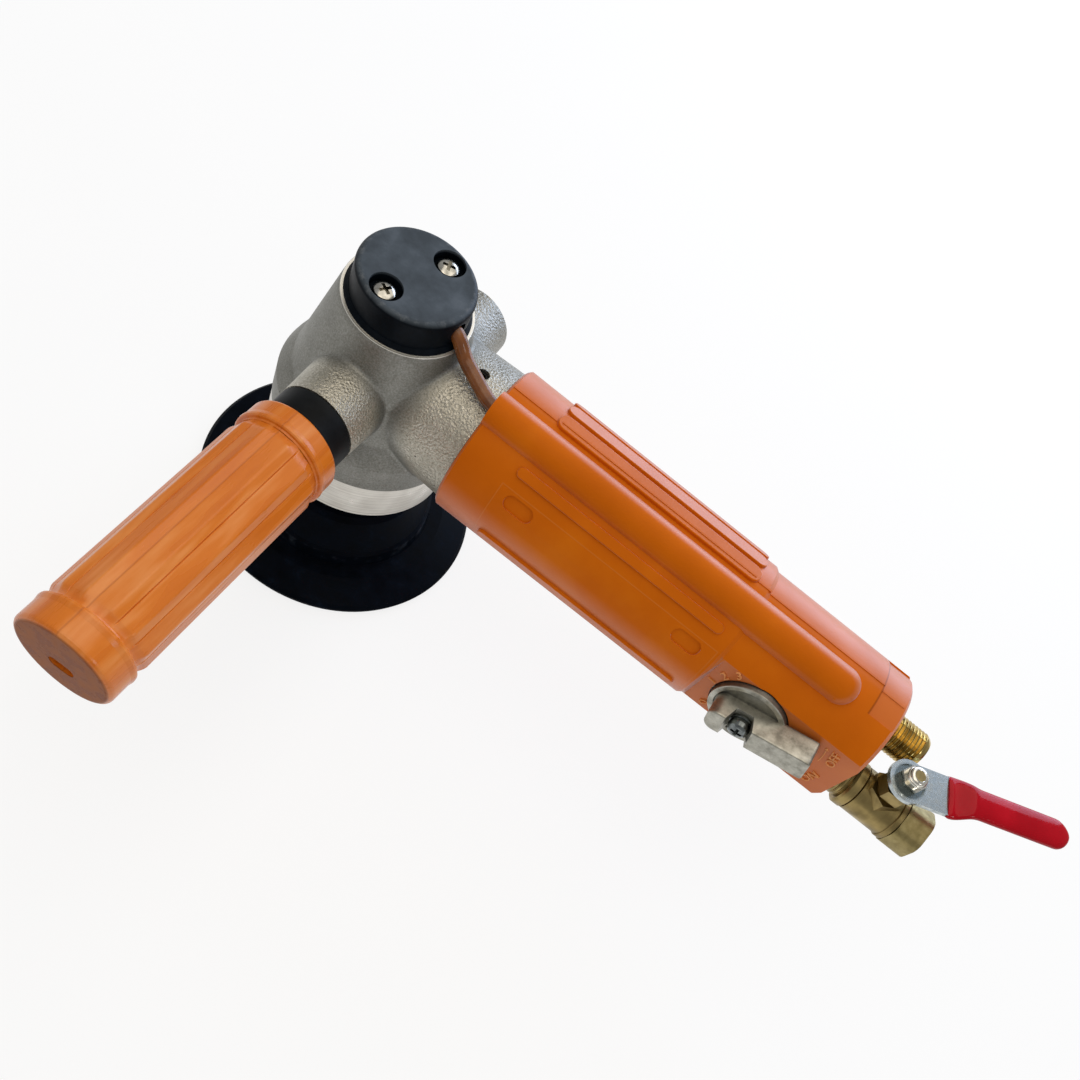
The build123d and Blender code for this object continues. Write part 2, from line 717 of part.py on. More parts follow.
# cast gear head
BELL_TOP_Z = HEAD_Z + BELL_SHOULDER_RISE
FOOT_Z = AXIS_Z - BARREL_FOOT_DROP
CHAMBER_Z = HEAD_Z + RING_SPIGOT_H
BEARING_STOP_Z = UPPER_BEARING_Z + UPPER_BEARING[2]
with BuildPart() as head_housing:
    with BuildSketch(Plane.XZ) as bell_profile:
        with BuildLine():
            Polyline((0, HEAD_Z), (BELL_R, HEAD_Z), (BELL_R, BELL_TOP_Z))
            ThreePointArc(
                (BELL_R, BELL_TOP_Z),
                (BELL_R - BELL_ARC_IN, BELL_TOP_Z + BELL_ARC_UP),
                (BARREL_FOOT_R, FOOT_Z),
            )
            Polyline(
                (BARREL_FOOT_R, FOOT_Z),
                (BARREL_TOP_R, BARREL_Z - LAND_H),
                (0, BARREL_Z - LAND_H),
                (0, HEAD_Z),
            )
        make_face()
        fillet(bell_profile.vertices().filter_by_position(Axis.Y, FOOT_Z - 0.1, FOOT_Z + 0.1), FOOT_ROUND)
    revolve(axis=Axis.Z)
    with BuildSketch(across(0)):
        Circle(NECK_FRONT_R)
    with BuildSketch(across(NECK_END_X)):
        Circle(NECK_REAR_R)
    loft()
    blend(head_housing, NECK_FILLET)
    with BuildSketch(facing_left(0)):
        Circle(LEFT_BOSS_ROOT_R)
    with BuildSketch(facing_left(-LEFT_BOSS_END)):
        Circle(LEFT_BOSS_R)
    loft()
    blend(head_housing, BOSS_FILLET)
    with BuildSketch(facing_right(0, RIGHT_BOSS_X)):
        Circle(BOSS_ROOT_R)
    with BuildSketch(facing_right(RIGHT_BOSS_END, RIGHT_BOSS_X)):
        Circle(BOSS_R)
    loft()
    blend(head_housing, BOSS_FILLET)
    with BuildSketch(Plane.XY.offset(BARREL_Z - LAND_H)):
        Circle(LAND_R)
    extrude(amount=LAND_H)
    with BuildSketch(across(NECK_END_X)):
        Circle(MOTOR_BORE_R)
    extrude(amount=SPIGOT_LEN)
    with BuildSketch(Plane.XZ):
        with BuildLine():
            Polyline(
                (0, HEAD_Z - CUT),
                (RING_SPIGOT_R, HEAD_Z - CUT),
                (RING_SPIGOT_R, CHAMBER_Z),
                (CHAMBER_R, CHAMBER_Z),
                (CHAMBER_R, CHAMBER_Z + CHAMBER_H),
                (UPPER_BEARING[1] + 1.0, UPPER_BEARING_Z - 3.0),
                (UPPER_BEARING[1], UPPER_BEARING_Z - 2.0),
                (UPPER_BEARING[1], BEARING_STOP_Z),
                (WATER_SEAL_R, BEARING_STOP_Z),
                (WATER_SEAL_R, WATER_SEAL_TOP_Z),
                (WATER_BORE_R, WATER_SEAL_TOP_Z),
                (WATER_BORE_R, BARREL_Z + CUT),
                (0, BARREL_Z + CUT),
                close=True,
            )
        make_face()
    revolve(axis=Axis.Z, mode=Mode.SUBTRACT)
    with BuildSketch(across(0)):
        Circle(PINION_ROOM_R)
    extrude(amount=PINION_BEARING_X, mode=Mode.SUBTRACT)
    with BuildSketch(across(PINION_BEARING_X)):
        Circle(PINION_BEARING[1])
    extrude(amount=PINION_BEARING[2] + RETAINER_T, mode=Mode.SUBTRACT)
    with BuildSketch(across(PINION_BEARING_END_X + RETAINER_T)):
        Circle(SPIGOT_BORE_R)
    extrude(amount=NECK_END_X + SPIGOT_LEN, mode=Mode.SUBTRACT)
    with BuildSketch(facing_left(CUT - LEFT_BOSS_END + HANDLE_THREAD_DEPTH - CUT)):
        Circle(HANDLE_THREAD_R)
    extrude(amount=HANDLE_THREAD_DEPTH + CUT, mode=Mode.SUBTRACT)
    with BuildSketch(facing_right(RIGHT_BOSS_END - HANDLE_THREAD_DEPTH, RIGHT_BOSS_X)):
        Circle(HANDLE_THREAD_R)
    extrude(amount=HANDLE_THREAD_DEPTH + CUT, mode=Mode.SUBTRACT)
    with BuildSketch(Plane.XY.offset(AXIS_Z + PINION_BEARING[1] - 0.5)):
        with Locations((SET_SCREW_X, 0)):
            Circle(SET_SCREW_R)
    extrude(amount=NECK_REAR_R, mode=Mode.SUBTRACT)
    with BuildSketch(Plane.XY.offset(CAP_TOP_Z - CAP_CBORE_D - CAP_SCREW_LEN)):
        with PolarLocations(CAP_SCREW_PCD_R, 2, start_angle=CAP_SCREW_ANGLE):
            Circle(CAP_SCREW_R)
    extrude(amount=CAP_SCREW_LEN, mode=Mode.SUBTRACT)

# set screw in the top of the neck
with BuildPart() as set_screw:
    with BuildSketch(Plane.XY.offset(AXIS_Z + PINION_BEARING[1])):
        with Locations((SET_SCREW_X, 0)):
            Circle(SET_SCREW_R)
    extrude(amount=NECK_FRONT_R - PINION_BEARING[1] - SET_SCREW_SINK + 1.2)
    with BuildSketch(set_screw.faces().sort_by(Axis.Z)[-1]):
        RegularPolygon(SET_SCREW_HEX / 2, 6, major_radius=False)
    extrude(amount=-2.0, mode=Mode.SUBTRACT)

# gasket and black water cap
with BuildPart() as cap_gasket:
    with BuildSketch(Plane.XY.offset(BARREL_Z)):
        Circle(CAP_R - 0.6)
        Circle(WATER_BORE_R, mode=Mode.SUBTRACT)
        with PolarLocations(CAP_SCREW_PCD_R, 2, start_angle=CAP_SCREW_ANGLE):
            Circle(CAP_SCREW_R, mode=Mode.SUBTRACT)
    extrude(amount=GASKET_T)

# route of the water tube: cap, down onto the neck, through the ridge, into the backhead
cap_dir = (cos(radians(TUBE_CAP_ANGLE)), sin(radians(TUBE_CAP_ANGLE)))
TUBE_Z = CAP_Z + TUBE_CAP_Z
ridge_y, ridge_up = polar_yz(TUBE_RIDGE_ANGLE, TUBE_RIDGE_R)
sink_y, sink_up = polar_yz(TUBE_RIDGE_ANGLE, BACKHEAD_R - TUBE_SINK)
TUBE_END_X = TUBE_DROP_X + TUBE_RIDGE_R - BACKHEAD_R + TUBE_SINK
knee_dir = (cos(radians(TUBE_KNEE_ANGLE)), sin(radians(TUBE_KNEE_ANGLE)))
tube_points = [
    (TUBE_CAP_IN * cap_dir[0], TUBE_CAP_IN * cap_dir[1], TUBE_Z),
    (TUBE_EXIT_IN * cap_dir[0], TUBE_EXIT_IN * cap_dir[1], TUBE_Z - TUBE_EXIT_DROP),
    (TUBE_KNEE_IN * knee_dir[0], TUBE_KNEE_IN * knee_dir[1], TUBE_Z - TUBE_KNEE_DROP),
    (TUBE_LAND_X, ridge_y, AXIS_Z + ridge_up),
    (TUBE_DROP_X, ridge_y, AXIS_Z + ridge_up),
    (TUBE_END_X, sink_y, AXIS_Z + sink_up),
]
with BuildPart() as water_tube:
    with BuildLine() as tube_route:
        FilletPolyline(*tube_points, radius=TUBE_BENDS)
    with BuildSketch(Plane(origin=tube_route.line @ 0, z_dir=tube_route.line % 0)):
        Circle(TUBE_R)
    sweep()

with BuildPart() as water_cap:
    with BuildSketch(Plane.XY.offset(CAP_Z)):
        Circle(CAP_R)
    extrude(amount=CAP_H)
    fillet(water_cap.edges().group_by(Axis.Z)[-1], CAP_ROUND)
    with BuildSketch(Plane.XY.offset(CAP_TOP_Z - CAP_CBORE_D)):
        with PolarLocations(CAP_SCREW_PCD_R, 2, start_angle=CAP_SCREW_ANGLE):
            Circle(CAP_CBORE_R)
    extrude(amount=CAP_CBORE_D, mode=Mode.SUBTRACT)
    with BuildSketch(Plane.XY.offset(CAP_Z)):
        with PolarLocations(CAP_SCREW_PCD_R, 2, start_angle=CAP_SCREW_ANGLE):
            Circle(CAP_SCREW_R)
    extrude(amount=CAP_H, mode=Mode.SUBTRACT)
    with BuildSketch(Plane.XY.offset(CAP_Z)):
        Circle(CAP_CHANNEL_R)
    extrude(amount=TUBE_CAP_Z + CAP_CHANNEL_R, mode=Mode.SUBTRACT)
    cap_side = (-cap_dir[1], cap_dir[0], 0)
    channel = Plane(origin=(0, 0, TUBE_Z), x_dir=cap_side, z_dir=(cap_dir[0], cap_dir[1], 0))
    with BuildSketch(channel):
        Circle(CAP_CHANNEL_R)
    extrude(amount=TUBE_CAP_IN, mode=Mode.SUBTRACT)
    with BuildSketch(channel.offset(CAP_R - CAP_EXIT_IN)):
        Circle(CAP_EXIT_R)
    extrude(amount=CAP_EXIT_LEN, mode=Mode.SUBTRACT)
    add(water_tube.part, mode=Mode.SUBTRACT)

with BuildPart() as cap_screws:
    with BuildSketch(Plane.XY.offset(CAP_TOP_Z - CAP_CBORE_D)):
        with PolarLocations(CAP_SCREW_PCD_R, 2, start_angle=CAP_SCREW_ANGLE):
            Circle(CAP_HEAD_R)
    extrude(amount=CAP_HEAD_H)
    fillet(cap_screws.edges().group_by(Axis.Z)[-1], 1.0)
    with BuildSketch(Plane.XY.offset(CAP_TOP_Z - CAP_CBORE_D)):
        with PolarLocations(CAP_SCREW_PCD_R, 2, start_angle=CAP_SCREW_ANGLE):
            Circle(CAP_SCREW_R)
    extrude(amount=-CAP_SCREW_LEN)

# bevel pinion with its shaft and the socket for the rotor
pinion_tooth = bevel_tooth(PINION_TEETH, PINION_CONE, PINION_ADDENDUM, PINION_DEDENDUM, BEVEL_SHIFT)
pinion_heel = root_point(PINION_CONE, PINION_DEDENDUM, 1.0)
pinion_toe = root_point(PINION_CONE, PINION_DEDENDUM, TOE_SCALE)
with BuildPart() as pinion_blank:
    with BuildSketch(Plane.XZ):
        with BuildLine():
            Polyline(
                (0, pinion_toe[1]),
                pinion_toe,
                pinion_heel,
                (PINION_HUB_R, pinion_heel[1] + 1.4),
                (PINION_HUB_R, PINION_BEARING_X),
                (PINION_BEARING[0], PINION_BEARING_X),
                (PINION_BEARING[0], PINION_BEARING_END_X),
                (PINION_SHAFT_R, PINION_BEARING_END_X),
                (PINION_SHAFT_R, PINION_END_X),
                (0, PINION_END_X),
                close=True,
            )
        make_face()
    revolve(axis=Axis.Z)
    with PolarLocations(0, PINION_TEETH, start_angle=180.0 / PINION_TEETH):
        add(pinion_tooth)
    with BuildSketch(Plane.XY.offset(PINION_END_X - COUPLING_DEPTH)):
        RegularPolygon(COUPLING_AF / 2, 6, major_radius=False)
    extrude(amount=COUPLING_DEPTH, mode=Mode.SUBTRACT)
apex_back = Plane(origin=(0, 0, AXIS_Z), x_dir=(0, 0, -1), z_dir=(1, 0, 0))
with BuildPart() as bevel_pinion:
    add(pinion_blank.part.moved(apex_back.location))

pinion_inner = inner_race(across(PINION_BEARING_X), PINION_BEARING)
pinion_outer = outer_race(across(PINION_BEARING_X), PINION_BEARING)
pinion_retainer = ring_piece(across(PINION_BEARING_END_X), PINION_BEARING[1], RETAINER_BORE_R, RETAINER_T)

# vane motor
motor_housing = ring_piece(across(NECK_END_X), MOTOR_TUBE_R, MOTOR_BORE_R, BACKHEAD_BODY_X - NECK_END_X)
SEAT_W = ROTOR_BEARING[2] + 0.3
with BuildPart() as front_plate:
    with BuildSketch(across(PLATE_X)):
        Circle(MOTOR_BORE_R)
        Circle(ROTOR_BEARING[0] + 0.6, mode=Mode.SUBTRACT)
        with Locations((0, -DOWEL_DROP)):
            Circle(DOWEL_R, mode=Mode.SUBTRACT)
    extrude(amount=PLATE_T)
    with BuildSketch(across(PLATE_X)):
        Circle(ROTOR_BEARING[1])
    extrude(amount=SEAT_W, mode=Mode.SUBTRACT)

with BuildPart() as rear_plate:
    with BuildSketch(across(REAR_PLATE_X)):
        Circle(MOTOR_BORE_R)
        Circle(ROTOR_BEARING[0] + 0.6, mode=Mode.SUBTRACT)
        with Locations((0, -DOWEL_DROP)):
            Circle(DOWEL_R, mode=Mode.SUBTRACT)
    extrude(amount=PLATE_T)
    with BuildSketch(across(REAR_PLATE_X + PLATE_T - SEAT_W)):
        Circle(ROTOR_BEARING[1])
    extrude(amount=SEAT_W, mode=Mode.SUBTRACT)

with BuildPart() as motor_cylinder:
    with BuildSketch(across(CYLINDER_X)):
        Circle(MOTOR_BORE_R)
        with Locations((0, CYLINDER_OFFSET)):
            Circle(CYLINDER_BORE_R, mode=Mode.SUBTRACT)
        with Locations((0, -DOWEL_DROP)):
            Circle(DOWEL_R, mode=Mode.SUBTRACT)
    extrude(amount=CYLINDER_LEN)
    for share in (0.25, 0.5, 0.75):
        with BuildSketch(facing_right(0, CYLINDER_X + share * CYLINDER_LEN, AXIS_Z + CYLINDER_OFFSET)):
            SlotOverall(PORT_L, PORT_W)
        extrude(amount=MOTOR_TUBE_R, mode=Mode.SUBTRACT)

with BuildPart() as dowel_pin:
    with BuildSketch(across(PLATE_X + 1.0, 0, AXIS_Z - DOWEL_DROP)):
        Circle(DOWEL_R)
    extrude(amount=CYLINDER_LEN + 2 * PLATE_T - 2.0)

ROTOR_X = CYLINDER_X + ROTOR_END_GAP
ROTOR_LEN = CYLINDER_LEN - 2 * ROTOR_END_GAP
FRONT_BEARING_X = PLATE_X + 0.2
REAR_BEARING_X = REAR_PLATE_X + PLATE_T - 0.2 - ROTOR_BEARING[2]
with BuildPart() as rotor:
    with BuildSketch(across(ROTOR_X)):
        Circle(ROTOR_R)
        with PolarLocations(ROTOR_R - VANE_DEPTH / 2, VANES, start_angle=90):
            Rectangle(VANE_DEPTH, VANE_T, mode=Mode.SUBTRACT)
    extrude(amount=ROTOR_LEN)
    with BuildSketch(across(FRONT_BEARING_X)):
        Circle(ROTOR_BEARING[0])
    extrude(amount=REAR_BEARING_X + ROTOR_BEARING[2] - FRONT_BEARING_X)
    with BuildSketch(across(PINION_END_X - COUPLING_DEPTH + 1.0)):
        RegularPolygon(COUPLING_AF / 2, 6, major_radius=False, rotation=30)
    extrude(amount=FRONT_BEARING_X - PINION_END_X + COUPLING_DEPTH - 1.0)

with BuildPart() as rotor_vanes:
    with BuildSketch(across(ROTOR_X)):
        with PolarLocations(ROTOR_R - VANE_SINK - VANE_DEPTH / 2 + 0.3, VANES, start_angle=90):
            Rectangle(VANE_DEPTH - 0.6, VANE_T)
    extrude(amount=ROTOR_LEN)

rotor_inners = Compound(
    children=[
        inner_race(across(FRONT_BEARING_X), ROTOR_BEARING),
        inner_race(across(REAR_BEARING_X), ROTOR_BEARING),
    ]
)
rotor_outers = Compound(
    children=[
        outer_race(across(FRONT_BEARING_X), ROTOR_BEARING),
        outer_race(across(REAR_BEARING_X), ROTOR_BEARING),
    ]
)

# backhead with the throttle bore, the air and water passages and the exhaust
SPOOL_END_Y = SPOOL_DEPTH - BACKHEAD_FLAT
with BuildPart() as backhead:
    with BuildSketch(across(BACKHEAD_X)):
        Circle(MOTOR_BORE_R)
    extrude(amount=BACKHEAD_SPIGOT)
    with BuildSketch(across(BACKHEAD_BODY_X)):
        Circle(BACKHEAD_R)
        with Locations((-BACKHEAD_FLAT - BACKHEAD_R / 2, 0)):
            Rectangle(BACKHEAD_R, 3 * BACKHEAD_R, mode=Mode.SUBTRACT)
    extrude(amount=BACKHEAD_END_X - BACKHEAD_BODY_X)
    with BuildSketch(facing_left(SPOOL_END_Y, THROTTLE_X, AXIS_Z)):
        Circle(SPOOL_BORE_R)
    extrude(amount=SPOOL_DEPTH + CUT, mode=Mode.SUBTRACT)
    with BuildSketch(across(BACKHEAD_END_X - NIPPLE_ROOT_LEN, NIPPLE_Y, NIPPLE_Z)):
        Circle(NIPPLE_ROOT_R)
    extrude(amount=NIPPLE_ROOT_LEN, mode=Mode.SUBTRACT)
    with BuildSketch(across(THROTTLE_X, NIPPLE_Y, NIPPLE_Z)):
        Circle(NIPPLE_BORE_R)
    extrude(amount=BACKHEAD_END_X - THROTTLE_X, mode=Mode.SUBTRACT)
    with BuildSketch(across(BACKHEAD_X, AIR_OUT_Y)):
        Circle(AIR_PASS_R)
    extrude(amount=THROTTLE_X - BACKHEAD_X, mode=Mode.SUBTRACT)
    with BuildSketch(across(BACKHEAD_X, EXHAUST_Y, AXIS_Z - EXHAUST_DROP)):
        Circle(EXHAUST_R)
    extrude(amount=BACKHEAD_END_X - BACKHEAD_X, mode=Mode.SUBTRACT)
    with BuildSketch(across(BACKHEAD_END_X - SILENCER_LEN, EXHAUST_Y, AXIS_Z - EXHAUST_DROP)):
        Circle(SILENCER_R)
    extrude(amount=SILENCER_LEN, mode=Mode.SUBTRACT)
    with BuildSketch(across(BACKHEAD_END_X - VALVE_ROOT_LEN, VALVE_Y, VALVE_Z)):
        Circle(VALVE_THREAD_R)
    extrude(amount=VALVE_ROOT_LEN, mode=Mode.SUBTRACT)
    with BuildSketch(across(TUBE_END_X - WATER_DRILL_R, VALVE_Y, VALVE_Z)):
        Circle(WATER_DRILL_R + 0.6)
    extrude(amount=BACKHEAD_END_X - TUBE_END_X, mode=Mode.SUBTRACT)
    with BuildSketch(Plane.XY.offset(VALVE_Z)):
        with Locations((TUBE_END_X, (VALVE_Y + sink_y) / 2)):
            Circle(WATER_DRILL_R)
    extrude(amount=AXIS_Z + sink_up - VALVE_Z + 0.5, mode=Mode.SUBTRACT)
    add(water_tube.part, mode=Mode.SUBTRACT)

with BuildPart() as exhaust_silencer:
    with BuildSketch(across(BACKHEAD_END_X - SILENCER_LEN, EXHAUST_Y, AXIS_Z - EXHAUST_DROP)):
        Circle(SILENCER_R)
    extrude(amount=SILENCER_LEN - 0.6)
    with BuildSketch(across(BACKHEAD_END_X - SILENCER_LEN, EXHAUST_Y, AXIS_Z - EXHAUST_DROP)):
        Circle(SILENCER_R - 1.8)
    extrude(amount=SILENCER_LEN - 2.6, mode=Mode.SUBTRACT)

# moulded grip sleeve
RIB_LEN = SHOULDER_X - RIB_BACK - SLEEVE_X - RIB_START
RIB_X = SLEEVE_X + RIB_START + RIB_LEN / 2
ridge_mid_y, ridge_mid_up = polar_yz(RIDGE_ANGLE, RIDGE_CENTRE_R)
with BuildPart() as grip_sleeve:
    with BuildSketch(Plane.XY.offset(AXIS_Z)):
        with BuildLine():
            Polyline(
                (SLEEVE_X, 0),
                (SLEEVE_X, SLEEVE_R - SLEEVE_EDGE),
                (SLEEVE_X + SLEEVE_EDGE, SLEEVE_R),
                (SHOULDER_X - 1.0, SLEEVE_R),
                (SHOULDER_X + 0.6, SLEEVE_REAR_R),
                (SLEEVE_END_X - SLEEVE_REAR_EDGE, SLEEVE_REAR_R),
                (SLEEVE_END_X, SLEEVE_REAR_R - SLEEVE_REAR_EDGE),
                (SLEEVE_END_X, 0),
                close=True,
            )
        make_face()
    revolve(axis=Axis(origin=(0, 0, AXIS_Z), direction=(1, 0, 0)))
    with BuildSketch(Plane.XY.offset(AXIS_Z - SLEEVE_R - CUT)):
        with BuildLine():
            Polyline(
                (SHOULDER_X - SHOULDER_SLOPE / 2, -SLEEVE_R - CUT),
                (SHOULDER_X + SHOULDER_SLOPE / 2, -SLEEVE_FLAT),
                (SLEEVE_END_X + CUT, -SLEEVE_FLAT),
                (SLEEVE_END_X + CUT, -SLEEVE_R - CUT),
                close=True,
            )
        make_face()
    extrude(amount=2 * SLEEVE_R + 2 * CUT, mode=Mode.SUBTRACT)
    with BuildSketch(across(SLEEVE_END_X - BAND_LEN)):
        Polygon(*wedge(BAND_FROM, BAND_TO, 2 * SLEEVE_R), align=None)
        Circle(BAND_R, mode=Mode.SUBTRACT)
    extrude(amount=BAND_LEN + CUT, mode=Mode.SUBTRACT)
    for start, stop, radius, angle in (
        (SLEEVE_X + SLEEVE_EDGE, SHOULDER_X, SLEEVE_R, SEAM_ANGLE),
        (SHOULDER_X - CUT, SLEEVE_END_X - BAND_LEN, SLEEVE_REAR_R, SEAM_ANGLE),
        (SLEEVE_END_X - BAND_LEN - CUT, SLEEVE_END_X - SLEEVE_REAR_EDGE, BAND_R, SEAM_BAND_ANGLE),
    ):
        with BuildSketch(across(start)):
            with Locations(polar_yz(angle, radius - CUT / 2)):
                Rectangle(SEAM_W, 2 * SEAM_H + CUT, rotation=angle)
        extrude(amount=stop - start)
    with BuildSketch(across(SLEEVE_X, ridge_mid_y, AXIS_Z + ridge_mid_up)):
        Circle(RIDGE_ROUND_R)
    extrude(amount=RIDGE_END_X - SLEEVE_X)
    with BuildSketch(Plane(origin=(RIDGE_END_X, ridge_mid_y, AXIS_Z + ridge_mid_up))):
        with BuildLine():
            Line((0, -RIDGE_ROUND_R), (0, RIDGE_ROUND_R))
            ThreePointArc((0, RIDGE_ROUND_R), (RIDGE_ROUND_R, 0), (0, -RIDGE_ROUND_R))
        make_face()
    revolve(axis=Axis(origin=(RIDGE_END_X, ridge_mid_y, AXIS_Z + ridge_mid_up), direction=(0, 1, 0)))
    ribs = [(-TOP_RIB_ANGLE - step * TOP_RIB_PITCH, TOP_RIB_W, TOP_RIB_ROUND) for step in range(TOP_RIBS)]
    ribs.append((SIDE_RIB_ANGLE, SIDE_RIB_W, SIDE_RIB_ROUND))
    ribs.append((LOW_RIB_ANGLE, LOW_RIB_W, LOW_RIB_ROUND))
    ribs.append((-LOW_RIB_ANGLE, LOW_RIB_W, LOW_RIB_ROUND))
    for angle, width, rounding in ribs:
        rib_top = tangent(angle, SLEEVE_R + RIB_H, RIB_X)
        with BuildSketch(rib_top):
            RectangleRounded(RIB_LEN, width, rounding)
        extrude(amount=-RIB_SINK)
        crest = grip_sleeve.faces(Select.LAST).sort_by(Axis((0, 0, AXIS_Z), rib_top.z_dir))[-1]
        fillet(crest.edges(), RIB_EDGE)
    with BuildSketch(across(RIB_X - RIB_LEN / 2 + TOP_RIB_ROUND / 2)):
        with Locations(polar_yz(SEAM_ANGLE, SLEEVE_R + RIB_H - CUT / 2)):
            Rectangle(SEAM_W, 2 * SEAM_H + CUT, rotation=SEAM_ANGLE)
    extrude(amount=RIB_LEN - TOP_RIB_ROUND)
    for station in (SLEEVE_X + PILL_FRONT, SHOULDER_X - PILL_REAR_BACK):
        with BuildSketch(tangent(PILL_ANGLE, SLEEVE_R - PILL_D, station)):
            RectangleRounded(PILL_L, PILL_W, PILL_ROUND)
        extrude(amount=2 * PILL_D + 0.5, mode=Mode.SUBTRACT)
    with BuildSketch(across(SLEEVE_X - CUT)):
        Circle(MOTOR_TUBE_R)
    extrude(amount=BACKHEAD_BODY_X - SLEEVE_X + CUT, mode=Mode.SUBTRACT)
    with BuildSketch(across(BACKHEAD_BODY_X)):
        Circle(BACKHEAD_R)
        with Locations((-BACKHEAD_FLAT - BACKHEAD_R / 2, 0)):
            Rectangle(BACKHEAD_R, 3 * BACKHEAD_R, mode=Mode.SUBTRACT)
    extrude(amount=SLEEVE_END_X - BACKHEAD_BODY_X + CUT, mode=Mode.SUBTRACT)
    with BuildSketch(facing_left(-BACKHEAD_FLAT + CUT, THROTTLE_X, AXIS_Z)):
        Circle(DISC_R + DISC_WINDOW_GAP)
    extrude(amount=SLEEVE_R - BACKHEAD_FLAT + CUT, mode=Mode.SUBTRACT)
    add(water_tube.part, mode=Mode.SUBTRACT)

# throttle lever, screw, spool and rings
DISC_BACK_Y = -BACKHEAD_FLAT - BODY_GAP
DISC_FACE_Y = -SLEEVE_FLAT - DISC_PROUD
bar_x = (cos(radians(BAR_OFF_ANGLE)), 0, sin(radians(BAR_OFF_ANGLE)))


def dial(y):
    """Plane on the throttle axis that faces outwards, x along the lever at rest."""
    return Plane(origin=(THROTTLE_X, y, AXIS_Z), x_dir=bar_x, z_dir=(0, -1, 0))


across_bar = Plane(
    origin=(THROTTLE_X, 0, AXIS_Z),
    x_dir=bar_x,
    z_dir=(-sin(radians(BAR_OFF_ANGLE)), 0, cos(radians(BAR_OFF_ANGLE))),
)
with BuildPart() as throttle_lever:
    with BuildSketch(dial(DISC_BACK_Y)):
        Circle(DISC_R)
    extrude(amount=DISC_BACK_Y - DISC_FACE_Y)
    with BuildSketch(dial(DISC_FACE_Y)):
        Circle(DISC_R)
        Circle(DISC_R - DISC_RIM_W, mode=Mode.SUBTRACT)
    extrude(amount=DISC_RIM_H)
    fillet(throttle_lever.edges().group_by(Axis.Y)[0], DISC_RIM_EDGE)
    with BuildSketch(dial(DISC_FACE_Y)) as bar_outline:
        with Locations(((BAR_REACH - BAR_TAIL) / 2, (BAR_HIGH - BAR_LOW) / 2)):
            Rectangle(BAR_REACH + BAR_TAIL, BAR_HIGH + BAR_LOW)
        fillet(bar_outline.vertices().group_by(Axis.X)[0], BAR_TAIL_ROUND)
        fillet(bar_outline.vertices().group_by(Axis.X)[-1], BAR_END_ROUND)
    extrude(amount=DISC_FACE_Y + BAR_TOP)
    fillet(throttle_lever.edges().group_by(Axis.Y)[0], BAR_EDGE)
    with BuildSketch(across_bar):
        with BuildLine():
            Polyline(
                (-BAR_NOTCH / 2 - BAR_NOTCH_SHIFT, -BAR_NOTCH_FLOOR),
                (BAR_NOTCH / 2 - BAR_NOTCH_SHIFT, -BAR_NOTCH_FLOOR),
                (BAR_NOTCH_MOUTH / 2 - BAR_NOTCH_SHIFT, -BAR_TOP - BAR_EDGE),
                (-BAR_NOTCH_MOUTH / 2 - BAR_NOTCH_SHIFT, -BAR_TOP - BAR_EDGE),
                close=True,
            )
        make_face()
    extrude(amount=2 * BAR_HIGH, both=True, mode=Mode.SUBTRACT)
    with BuildSketch(dial(-BAR_NOTCH_FLOOR)):
        Circle(BAR_SEAT_R)
    extrude(amount=BAR_TOP, mode=Mode.SUBTRACT)
    with BuildSketch(dial(DISC_BACK_Y)):
        Rectangle(SPOOL_TANG_AF, SPOOL_TANG_AF)
    extrude(amount=SPOOL_TANG_H, mode=Mode.SUBTRACT)
    with BuildSketch(dial(DISC_BACK_Y)):
        Circle(LEVER_SCREW_R)
    extrude(amount=BAR_TOP, mode=Mode.SUBTRACT)

with BuildPart() as lever_screw:
    with BuildSketch(dial(-BAR_NOTCH_FLOOR - LEVER_WASHER_T)):
        Circle(LEVER_HEAD_R)
    extrude(amount=LEVER_HEAD_H)
    fillet(lever_screw.edges().group_by(Axis.Y)[0], LEVER_HEAD_ROUND)
    with BuildSketch(dial(-BAR_NOTCH_FLOOR)):
        Circle(LEVER_WASHER_R)
    extrude(amount=LEVER_WASHER_T)
    with BuildSketch(dial(-BAR_NOTCH_FLOOR)):
        Circle(LEVER_SCREW_R)
    extrude(amount=-LEVER_SCREW_LEN)

